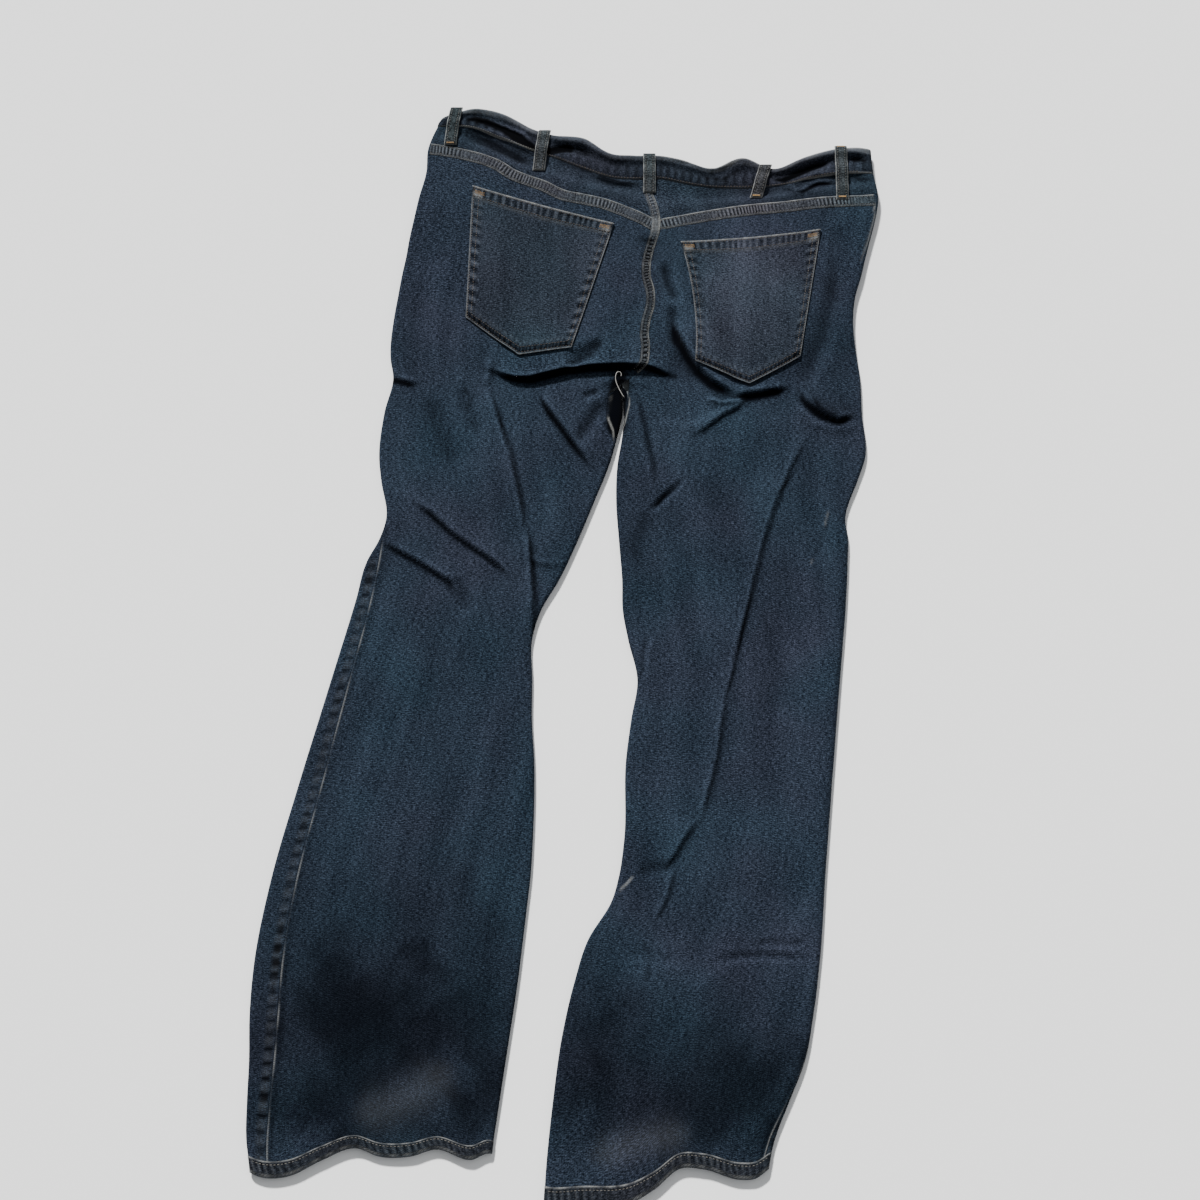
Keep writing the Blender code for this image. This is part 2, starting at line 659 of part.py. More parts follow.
def waistband(material):
    """One strip round the waist, its ends lapped at the centre front."""
    levels = np.array([BAND_LEVEL + SEAM_GAP, *BAND_ROLL_LEVELS, WAIST_LEVEL])
    low, high = side_lines(levels)
    span = ring_span(low, high)
    centre = FRONT_CENTRE - low - TURN_RADIUS + 0.5 * math.pi * TURN_RADIUS
    start = -(centre + BAND_OVERLAP)
    end = 2 * span - (centre - BAND_OVERLAP)
    seam_level = np.array([BAND_LEVEL])
    over_left = back_columns("left", seam_level)[2][0][:-1]
    low_right, high_right, over_right = back_columns("right", seam_level)
    seam_span = ring_span(*side_lines(seam_level))[0]
    over_right = seam_span + (over_right - ring_span(low_right, high_right))[0][:-1]
    over = np.append(over_left, over_right) / seam_span
    turn = np.array(BAND_TURN_STEPS)
    lap = end - 2 * BAND_OVERLAP - LAP_MARGIN
    t_front = np.linspace(0, 1, 6)[None, :-1]
    same = np.zeros((len(levels), 1))
    along = np.concatenate([
        start[:, None] + (-turn[0] - start)[:, None] * t_front,
        same - turn[None, :],
        span[:, None] * over[None, :],
        span[:, None] + np.append(0.0, turn[:0:-1])[None, :],
        (span + turn[0])[:, None] + (lap - LAP_RAMP - span - turn[0])[:, None] * t_front,
        lap[:, None] + np.array([-LAP_RAMP, -0.5 * LAP_RAMP, 0.0, BAND_OVERLAP])[None, :],
        end[:, None],
    ], axis=1)
    row = levels[:, None] + 0 * along
    lift = (CLOTH + 1.5 * SEAM_GAP) * ease(-LAP_RAMP, 0.0, along - lap[:, None])
    return ring_wall("waistband", along, row, low, high, material, lift)


def patch_pocket(name, corners, material):
    """Five-sided patch sewn on the seat: a grid between its top edge and its pointed bottom.
    Its left side may bow inwards."""
    def point(key):
        return np.array(corners[key])

    def surface(across, up):
        across = np.asarray(across)[..., None]
        up = np.asarray(up)[..., None]
        top = point("top_left") * (1 - across) + point("top_right") * across
        top = top - np.array([0.0, corners["top_bow"]]) * 4 * across * (1 - across)
        left_half = point("bottom_left") * (1 - 2 * across) + point("tip") * 2 * across
        right_half = point("tip") * (2 - 2 * across) + point("bottom_right") * (2 * across - 1)
        low = np.where(across < 0.5, left_half, right_half)
        plan = low + (top - low) * up
        bowed = corners["side_bow"] * (1 - across) ** 3 * 4 * up * (1 - up)
        x = plan[..., 0] + bowed[..., 0]
        y = plan[..., 1]
        return x, y, patch_height(x, y, level_at(x, y))

    even = np.linspace(0, 1, PATCH_CELLS + 1)
    across, up = np.meshgrid(even, even)
    x, y, height = surface(across, up)
    under = np.stack([x, y, height + PATCH_GAP], axis=-1)
    slope = wall_drop(x, y, level_at(x, y))
    over = np.stack([x, y, height + PATCH_GAP + slope], axis=-1)
    return shell_object(name, under, over, material)


def loop_strip(name, centre_line, across_step, material):
    """Belt loop: a flat strip carried along its centre line."""
    line = np.array(centre_line)
    tangent = np.gradient(line, axis=0)
    tangent = tangent / np.linalg.norm(tangent, axis=1, keepdims=True)
    across = np.array(across_step, dtype=float)
    normal = np.cross(across[None, :], tangent)
    normal = normal / np.linalg.norm(normal, axis=1, keepdims=True)
    offsets = np.array([-0.5, 0.0, 0.5]) * LOOP_WIDTH
    grid = line[:, None, :] + across[None, None, :] * offsets[None, :, None]
    return shell_object(name, grid, grid + normal[:, None, :] * LOOP_THICKNESS, material)


def back_loop(name, x_top, x_low, top, low, bow, material):
    """Belt loop over the back waistband, tacked at both ends and bowed off it between."""
    t = np.linspace(0, 1, 9)
    level = low + (top - low) * t
    x = x_low + (x_top - x_low) * t
    y = row_y(level, x)
    height = np.zeros(len(t))
    for offset in (-0.5, 0.0, 0.5):
        there = x + offset * LOOP_WIDTH
        height = np.maximum(height, top_height(there, row_y(level, there), level))
    lift = LOOP_GAP + bow * np.sin(math.pi * t)
    line = np.stack([x, y, height + lift], axis=-1)
    return loop_strip(name, line, (1.0, 0.0, 0.0), material)


def front_loop(name, x, material):
    """Belt loop on the front waistband, between it and the ground."""
    t = np.linspace(0, 1, 7)
    low = BAND_LEVEL - LOOP_BELOW_BAND
    level = low + (WAIST_LEVEL - 1 - low) * t
    x_at = x + 0 * level
    height = floor_rise(level) - SEAM_GAP - LOOP_THICKNESS
    line = np.stack([x_at, front_y(level, x_at), height], axis=-1)
    return loop_strip(name, line, (1.0, 0.0, 0.0), material)


def fly_flap(material):
    """Flap over the zip: straight along the centre front, curved in at its lower end."""
    levels = graded((FLY_TOP_LEVEL, FLY_CURVE_LEVEL, 20.0), (FLY_CURVE_LEVEL, FLY_LOW_LEVEL, 7.5))
    t = np.clip((FLY_CURVE_LEVEL - levels) / (FLY_CURVE_LEVEL - FLY_LOW_LEVEL), 0, 1)
    width = FLY_TIP_WIDTH + (FLY_WIDTH - FLY_TIP_WIDTH) * np.sqrt(np.maximum(1 - t * t, 0.0))
    across = np.linspace(0, 1, 5)
    x = FRONT_CENTRE + FLY_PAST - width[:, None] * (1 - across[None, :])
    row = levels[:, None] + 0 * x
    height = floor_rise(row) - SEAM_GAP
    upper = np.stack([x, front_y(row, x), height], axis=-1)
    lower = np.stack([x, front_y(row, x), height - CLOTH], axis=-1)
    return shell_object("fly_flap", upper, lower, material)


def shank_button(material):
    """Metal button on the waistband's lapped end, its domed face to the ground."""
    profile = (
        (0.0, BUTTON_THICKNESS), (5.0, BUTTON_THICKNESS), (BUTTON_DIAMETER / 2 - 0.5, 1.7),
        (BUTTON_DIAMETER / 2, 1.0), (BUTTON_DIAMETER / 2 - 1.2, 0.2), (6.0, 0.0), (0.0, 0.0),
    )
    mesh = bpy.data.meshes.new("button")
    points = [(radius * MM, 0.0, height * MM) for radius, height in profile]
    mesh.from_pydata(points, [(k, k + 1) for k in range(len(points) - 1)], [])
    button = bpy.data.objects.new("button", mesh)
    bpy.data.collections[COLLECTION_NAME].objects.link(button)
    level = 0.5 * (BAND_LEVEL + WAIST_LEVEL) + 2.0
    x = FRONT_CENTRE - PLAN_CENTRE[0]
    y = float(front_y(level, FRONT_CENTRE)) - PLAN_CENTRE[1]
    button.location = (x * MM, y * MM, 0.3 * MM)
    turn = button.modifiers.new("turn", "SCREW")
    turn.steps = 24
    turn.render_steps = 24
    turn.use_merge_vertices = True
    turn.merge_threshold = 0.00001
    turn.use_normal_calculate = True
    mesh.materials.append(material)
    return button


def build():
    """Model every piece of the jeans."""
    for thing in list(bpy.data.objects):
        bpy.data.objects.remove(thing)
    jeans = bpy.data.collections.new(COLLECTION_NAME)
    bpy.context.scene.collection.children.link(jeans)
    denim = make_material("denim", (0.030, 0.052, 0.085), 0.9)
    faded = make_material("denim_faded", (0.045, 0.070, 0.105), 0.9)
    dark = make_material("denim_dark", (0.022, 0.036, 0.060), 0.9)
    metal = make_material("button_metal", (0.45, 0.30, 0.16), 0.35, 1.0)

    for side in ("left", "right"):
        back_panel("back_" + side, side, BACK_ROWS, denim)
        back_panel("yoke_" + side, side, YOKE_ROWS, faded)
        front_panel(side, denim)
        front_pocket(side, denim)
    waistband(faded)
    for name, corners in POCKETS.items():
        patch_pocket(name, corners, faded)
    for name, x_top, x_low, top, low, bow in LOOPS[1:]:
        back_loop(name, x_top, x_low, top, low, bow, dark)
    for name, x in FRONT_LOOPS:
        front_loop(name, x, dark)
    fly_flap(denim)
    shank_button(metal)


build()
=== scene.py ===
"""Bootcut jeans laid flat on their front, back side up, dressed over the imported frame.

Lengths in the tables are millimetres in the plan view, +X to the right and +Y towards the
waist. Every panel is a wall of cloth over a row of flattened rings, as it is in the frame.
"""

import math

import bpy
import numpy as np
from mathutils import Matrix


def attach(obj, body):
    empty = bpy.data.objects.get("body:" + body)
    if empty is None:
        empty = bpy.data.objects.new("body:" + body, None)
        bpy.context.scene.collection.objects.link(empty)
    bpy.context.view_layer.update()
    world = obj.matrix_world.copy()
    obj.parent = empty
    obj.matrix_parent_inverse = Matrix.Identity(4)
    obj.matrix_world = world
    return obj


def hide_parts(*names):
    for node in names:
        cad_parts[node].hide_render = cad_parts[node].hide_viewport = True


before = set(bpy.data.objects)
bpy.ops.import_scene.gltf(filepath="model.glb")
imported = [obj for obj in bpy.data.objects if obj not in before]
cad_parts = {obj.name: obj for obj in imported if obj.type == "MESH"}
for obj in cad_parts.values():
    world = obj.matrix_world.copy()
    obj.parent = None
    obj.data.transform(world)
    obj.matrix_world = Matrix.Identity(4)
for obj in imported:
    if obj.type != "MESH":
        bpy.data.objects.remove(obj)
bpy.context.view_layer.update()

# ------------------------------------------------------------------ table and studio
# The jeans lie on a plain pale table top. A large soft light stands beyond the waist, a
# little to the left, so folds that step down towards the hems keep a dark lower side.
VIEW_POINT = (0.0162, 0.0174)
VIEW_DISTANCE = 2.30
VIEW_ELEVATION = 70.0
TABLE_COLOUR = (0.86, 0.86, 0.85, 1.0)
TABLE_CORNERS = ((-9, -9, 0), (9, -9, 0), (9, 9, 0), (-9, 9, 0))


def placed(name, data):
    """New object with this data, linked into the scene."""
    piece = bpy.data.objects.new(name, data)
    bpy.context.scene.collection.objects.link(piece)
    return piece


camera_lens = bpy.data.cameras.new("camera")
camera_lens.lens = 72.63
camera_lens.sensor_width = 36.0
camera = placed("camera", camera_lens)
camera.location = (
    VIEW_POINT[0],
    VIEW_POINT[1] - VIEW_DISTANCE * math.cos(math.radians(VIEW_ELEVATION)),
    VIEW_DISTANCE * math.sin(math.radians(VIEW_ELEVATION)),
)
camera.rotation_euler = (math.radians(90.0 - VIEW_ELEVATION), 0.0, 0.0)
bpy.context.scene.camera = camera

table_paint = bpy.data.materials.new("table_paint")
table_paint.use_nodes = True
shader = table_paint.node_tree.nodes["Principled BSDF"]
shader.inputs["Base Color"].default_value = TABLE_COLOUR
shader.inputs["Roughness"].default_value = 0.9
table_mesh = bpy.data.meshes.new("table_top")
table_mesh.from_pydata(TABLE_CORNERS, [], [(0, 1, 2, 3)])
table_mesh.materials.append(table_paint)
table_top = placed("table_top", table_mesh)

for name, strength, spread_angle, elevation, azimuth in (
    ("key_light", 9.0, 6.0, 36.0, 110.0),
    ("side_light", 0.4, 60.0, 50.0, 20.0),
):
    lamp = bpy.data.lights.new(name, "SUN")
    lamp.energy = strength
    lamp.angle = math.radians(spread_angle)
    light = placed(name, lamp)
    light.rotation_euler = (0.0, math.radians(90.0 - elevation), math.radians(azimuth))
studio = bpy.context.scene.world or bpy.data.worlds.new("studio")
bpy.context.scene.world = studio
studio.use_nodes = True
background = studio.node_tree.nodes["Background"]
background.inputs["Color"].default_value = (0.93, 0.96, 1.0, 1.0)
background.inputs["Strength"].default_value = 0.40

# ------------------------------------------------------------------ back leg panels
# Two panels of indigo twill, 1.4 mm thick, run from the yoke seam to the hems. They carry
# the folds of the laid jeans: the seat steps down over the thighs, and the legs keep
# pleats, drag lines and creases behind the knees. They are sewn to the fronts at the sides.
CLOTH = 1.4            # denim wall
SEAM_GAP = 0.3         # clearance between sewn pieces
TURN_RADIUS = 3.2      # half-round turn of the cloth at each side
QUARTER_TURN = 0.5 * math.pi * TURN_RADIUS
CROWN_WIDTH = 38.0     # distance over which the edge height eases to the middle height
LAYER_GAP = 0.9        # least clearance between the upper and lower layers
BAND_RISE = 3.4        # front waistband lies this high, on its button and loops
FLY_RISE = 2.0         # front panels of the seat lie this high, on the fly flap
FRONT_DROP = 45.0      # the front waist dips this far below the line of the sides
FRONT_SEAM_GAP = 0.9   # the same clearance, where the curved front waist meets its band
FLY_LOW_LEVEL = 305.0
WAIST_LEVEL = 515.0
BAND_LEVEL = 475.0
YOKE_LEVEL = 440.0
SEAT_LEVEL = 330.0
CROTCH_LEVEL = 238.0
CALF_LEVEL = -430.0
HEM_LEVEL = -515.0
SEAT_MARGIN = 12.0
PLAN_CENTRE = np.array([-0.2, -5.4, 0.0])  # the frame's origin in the plan
METRE = 0.001          # metres in a millimetre

# Side folds of the garment by Y, and how far each outseam lies inwards of its fold on top.
OUTER = (
    ("y", "left", "left_wrap", "right", "right_wrap"),
    *((y, left, 0, right, 0) for y, left, right in (
        (545, -130, 290), (525, -147, 291), (500, -158, 291), (470, -160, 292.5),
        (440, -167, 296.5), (418, -171, 293), (395, -175, 287), (373, -178, 281),
        (356, -181, 277), (328, -185, 269), (306, -188, 266.5), (262, -190, 269),
        (244, -187, 271), (205, -194.5, 271.5), (155, -198, 272.5), (134, -195.5, 265),
        (93, -189.5, 251.5),
    )),
    (72, -195.5, 3, 253.5, 0), (51, -206, 11, 252.5, 0), (11, -215.5, 14, 249.5, 0),
    (-69, -236, 17, 241, 0), (-172, -262.5, 21, 230, 0), (-260, -283.5, 23, 221, 0),
    (-334, -295, 25, 214, 0), (-387, -297, 25, 206, 0), (-424, -295.5, 22, 198, 0),
    (-459, -295.5, 20, 183.5, 1), (-493, -294.5, 18, 169.5, 4), (-520, -290, 15, 163, 7),
    (-550, -289, 14, 162, 8),
)
# Inner edges of the two back panels by Y, and the inner side folds of the legs. In the seat
# the folds meet at one line under the cloth; below the crotch each panel ends at its fold.
INNER = (
    ("y", "left", "left_side", "right", "right_side"),
    *((y, left, 36.9, right, 37.1) for y, left, right in (
        (500, 62, 62), (446, 69, 69), (429, 75, 75), (411, 76, 76), (398, 74.5, 74.5),
        (384, 70, 70), (365, 66, 66), (350, 66, 66), (334, 69.5, 69.5), (318, 69.5, 69.5),
        (302, 65.5, 65.5), (286, 63, 63), (270, 63.5, 63.5), (256, 60, 60), (248, 54, 54),
        (243, 48.5, 48.7), (240, 44.5, 45.5), (234, 36, 44.5),
    )),
    (228, 27, 37.1, 43.5, 37.4), (215, 23.5, 38.0, 43.5, 38.4), (198, 23, 37.3, 40.8, 39.4),
    (186, 28, 34.5, 38.5, 38.3), (172, 29, 31, 36.5, 36.4),
    *((y, left, left, right, right) for y, left, right in (
        (155, 26.5, 33.5), (113, 11, 31.5), (72, -5, 34), (31, -23, 37), (0, -40, 37.5),
        (-29, -48, 42.5), (-69, -47.5, 51), (-108, -47.5, 45), (-147, -45, 40), (-223, -45.5, 38),
        (-260, -47.5, 32.5), (-279, -49.5, 27), (-316, -53.5, 5), (-352, -57.5, -6.5),
        (-406, -65, -18.5), (-459, -72.5, -25.5), (-515, -79.5, -31), (-550, -80, -33),
    )),
)
# Top edge of the waist, band seam and yoke seam by X.
WAIST = (
    ("x", "edge", "band", "yoke"),
    (-160, 522, 520, 502), (-135, 536, 522, 499), (-118, 540, 520, 495), (-84, 535, 506, 482),
    (-55, 520, 494, 464), (-30, 511, 485, 453), (0, 507, 472, 445), (27, 489, 462, 439),
    (50, 488, 460, 430), (76, 488, 461, 415), (103, 481, 455, 421), (130, 472, 451, 425),
    (158, 484, 450, 428.5), (194, 473, 453, 434), (226, 486, 460, 440), (255, 495, 465, 442.5),
    (285, 496, 467, 443.5), (300, 492, 467, 444),
)
# Lower edges of the legs by X.
HEM = (
    ("x", "edge"),
    (-300, -515), (-280, -524), (-256, -523), (-229, -510), (-198, -499), (-178, -506),
    (-150, -506), (-128, -500), (-97, -509), (-79, -504), (-55, -538), (-33, -549), (0, -549),
    (45, -545), (64, -534), (85, -517), (106, -517), (139, -526), (152, -525), (165, -516),
)
# Height of the upper layer in the middle of a leg, by level.
LOFT = (
    ("level", "middle"),
    (515, 9.3), (475, 9.8), (440, 9.3), (400, 10.5), (340, 11.5), (280, 11.0), (236, 8.5),
    (190, 8.0), (120, 7.0), (0, 6.0), (-150, 5.6), (-430, 5.6), (-515, 6.6),
)
# Rolls across the waistband and the yokes, by level.
ROLLS = (
    ("level", "rise"),
    (515, 0.0), (508, 1.0), (499, -1.0), (488, 0.3), (478, 0.0), (471, -1.0), (461, -1.4),
    (451, 0.7), (440, 0.0),
)

# Folds follow the points of a line in the plan and fade out at both ends. One with a run is
# a step: the cloth on its left is raised, and eases down over three times the run. One with
# no run is a ridge, or a trough where its height is negative.
SEAT_FOLD = (
    (-102, 251), (-90, 249), (-80, 245), (-67, 242), (-53, 242), (-38, 246), (-18, 251), (6, 254),
    (36, 256), (58, 255.5), (70, 252), (80, 247), (92, 243),
)
FOLDS = (
    ("height", "width", "run", "points"),
    (7.4, 4.5, 30, SEAT_FOLD),
    (-1.2, 7, 0, ((-80, 238), (-60, 233), (-36, 237), (-10, 242), (20, 246), (52, 245),
        (74, 241))),
    # under the right pocket, with the pointed fold and the hollow at the hip
    (8.0, 4.4, 16, ((88, 308), (91, 292), (97, 276), (105, 262), (114, 248), (126, 236),
        (141, 227), (157, 222))),
    (3.2, 2.6, 0, ((118, 220), (134, 213), (149, 214), (156, 219))),
    (4.2, 3, 9, ((102, 176), (119, 188), (134, 200), (151, 209), (161, 221))),
    (6.5, 4.5, 12, ((142, 222), (154, 222), (169, 224), (188, 227), (204, 232))),
    (7.0, 4.2, 12, ((211, 234), (213, 226), (217, 216), (224, 207), (236, 198), (247, 195),
        (258, 199), (267, 208))),
    (1.8, 4.5, 0, ((207, 219), (214, 205), (227, 192), (243, 186), (261, 189), (271, 195))),
    # left side and thigh
    (4.4, 3.4, 5, ((-193, 243), (-180, 240), (-161, 233))),
    (3.2, 3.6, 6, ((-94, 230), (-92, 246), (-89, 264))),
    (-1.9, 7, 0, ((-118, 240), (-119, 225), (-117, 211), (-106, 190), (-99, 172))),
    (5.6, 3.2, 11, ((-46, 231), (-39, 216), (-32, 204), (-22, 190), (-11, 173), (0, 158),
        (13, 140))),
    (-3.2, 7, 0, ((24, 226), (19, 212), (8, 198), (-4, 178), (-15, 162))),
    (-2.4, 3.5, 0, ((-3, 220), (6, 224), (16, 227))),
    (4.4, 3.0, 12, ((-54, 76), (-58, 96), (-61, 112), (-65, 132), (-72, 163), (-81, 190),
        (-89, 216), (-94, 235))),
    (5.0, 2.4, 11, ((-46, -74), (-45, -31), (-45, -1), (-48, 29), (-51, 65), (-54, 88))),
    (4.6, 3.2, 12, ((-168, 115), (-159, 108), (-147, 100), (-135, 88), (-123, 76), (-110, 67),
        (-95, 57), (-79, 44), (-64, 28))),
    (4.6, 3.0, 10, ((-200, 76), (-187, 67), (-175, 59), (-162, 52), (-151, 45), (-139, 37),
        (-126, 29), (-116, 8))),
    (-2.4, 8, 0, ((-128, 34), (-114, 12), (-108, -6))),
    (2.2, 3, 6, ((-56, 53), (-41, 47), (-27, 45), (-12, 46))),
    (2.2, 3.5, 5, ((-192, 94), (-187, 83), (-184, 68))),
    (-2.0, 12, 0, ((-150, 224), (-140, 190), (-122, 140))),
    (-1.4, 16, 0, ((-150, 10), (-140, -60), (-128, -180), (-120, -280))),
    (-0.9, 14, 0, ((-250, -130), (-232, -190), (-214, -260))),
    (1.6, 18, 0, ((-100, 40), (-96, -60), (-92, -180))),
    # right leg
    (3.6, 2.6, 12, ((132, -92), (138, -71), (146, -32), (158, 11), (169, 58), (183, 103),
        (197, 139), (205, 155), (218, 182))),
    (3.8, 2.6, 12, ((107, -212), (112, -192), (118, -170), (124, -145), (131, -100), (136, -76))),
    (4.0, 3.4, 11, ((70, -256), (83, -239), (90, -227), (97, -216), (107, -202))),
    (-1.8, 5, 0, ((48, -256), (61, -251), (72, -249), (84, -243))),
    (3.2, 2.6, 7, ((65, -302), (71, -289), (77, -276), (81, -260), (86, -246))),
    (-2.6, 3.4, 0, ((51, 229), (55, 215), (59, 195), (62, 177), (65, 163), (68, 150),
        (70, 138), (71, 122))),
    (-2.8, 3, 0, ((60, 100), (71, 108), (78, 116), (82, 119), (89, 126), (97, 137))),
    (3.4, 3.4, 7, ((64, -20), (61, -35), (58, -48), (58, -61), (55, -69), (49, -80))),
    (-2.4, 3, 0, ((112, -335), (130, -332), (160, -329), (187, -331), (207, -333))),
    (-1.6, 2.6, 0, ((148, -321), (166, -318), (190, -319), (206, -317))),
    (-1.6, 3.0, 0, ((58, -318), (60, -332), (60, -346), (56, -360))),
    (-1.1, 6, 0, ((36, -326), (66, -331), (98, -335))),
    (1.8, 18, 0, ((176, 150), (150, 60), (130, -40))),
    (-1.4, 14, 0, ((196, 60), (184, -20), (170, -120))),
    (1.4, 14, 0, ((96, 90), (90, 0), (84, -120))),
    (-1.2, 12, 0, ((130, -250), (100, -330), (70, -420))),
    # seat
    (-5.0, 6, 0, ((-20, 256), (6, 270), (22, 281))),
    (-3.8, 8, 0, ((106, 334), (123, 306), (134, 286), (144, 266))),
    (-3.6, 5, 0, ((78, 370), (84, 341), (94, 318))),
    (-4.2, 6, 0, ((88, 322), (88, 298), (92, 268))),
    (-3.6, 9, 0, ((253, 376), (246, 326), (235, 282), (220, 247), (210, 222))),
    (-2.2, 8, 0, ((257, 414), (252, 384), (246, 350))),
    (-3.0, 9, 0, ((66, 396), (66, 378), (65, 360))),
    (-1.6, 6, 0, ((270, 360), (268, 310), (262, 250))),
    (-1.8, 12, 0, ((-150, 440), (-140, 400), (-138, 350))),
    (1.6, 14, 0, ((-20, 400), (-30, 350), (-36, 300))),
    (1.4, 12, 0, ((60, 340), (34, 320), (10, 300))),
    # waistband and yokes, where the band has curled over and stands off the yoke
    (3.4, 5.0, 0, ((-134, 541), (-112, 541), (-92, 537), (-76, 529), (-62, 520), (-50, 508))),
    (2.8, 5.0, 0, ((-47, 507), (-20, 506), (0, 502), (16, 491), (34, 485), (62, 485))),
    (2.8, 5.0, 0, ((70, 485), (100, 480), (122, 471), (134, 470), (148, 479), (166, 483),
        (184, 473))),
    (3.2, 5.0, 0, ((188, 470), (214, 478), (236, 486), (258, 491), (294, 492))),
    (4.4, 2.6, 3, ((-128, 533), (-116, 530), (-99, 526), (-86, 521), (-78, 518), (-62, 511),
        (-54, 500), (-47, 487))),
    (3.2, 2.6, 4, ((-128, 522), (-111, 518), (-90, 511), (-71, 500), (-57, 493), (-42, 483))),
    (-2.4, 5, 0, ((-124, 507), (-99, 502), (-80, 491), (-64, 482), (-45, 474))),
    (-3.2, 4.2, 0, ((-42, 497), (-33, 493), (-18, 497), (-4, 493), (10, 486))),
    (2.6, 2.4, 4, ((4, 468), (17, 461), (31, 456), (60, 453))),
    (-2.6, 3.4, 0, ((79, 483), (107, 477), (117, 472), (129, 467), (139, 470), (152, 478),
        (165, 483))),
    (-3.6, 4.2, 0, ((184, 468), (193, 461), (203, 461), (218, 468), (233, 475), (254, 482))),
    (-2.0, 3.0, 0, ((266, 485), (279, 484), (290, 485))),
    (2.8, 2.2, 4, ((210, 453), (218, 458), (235, 464), (255, 466), (275, 467), (292, 466))),
    (2.4, 2.2, 4, ((199, 451), (207, 451), (214, 447), (220, 447), (226, 452), (231, 455),
        (242, 457), (256, 457))),
)

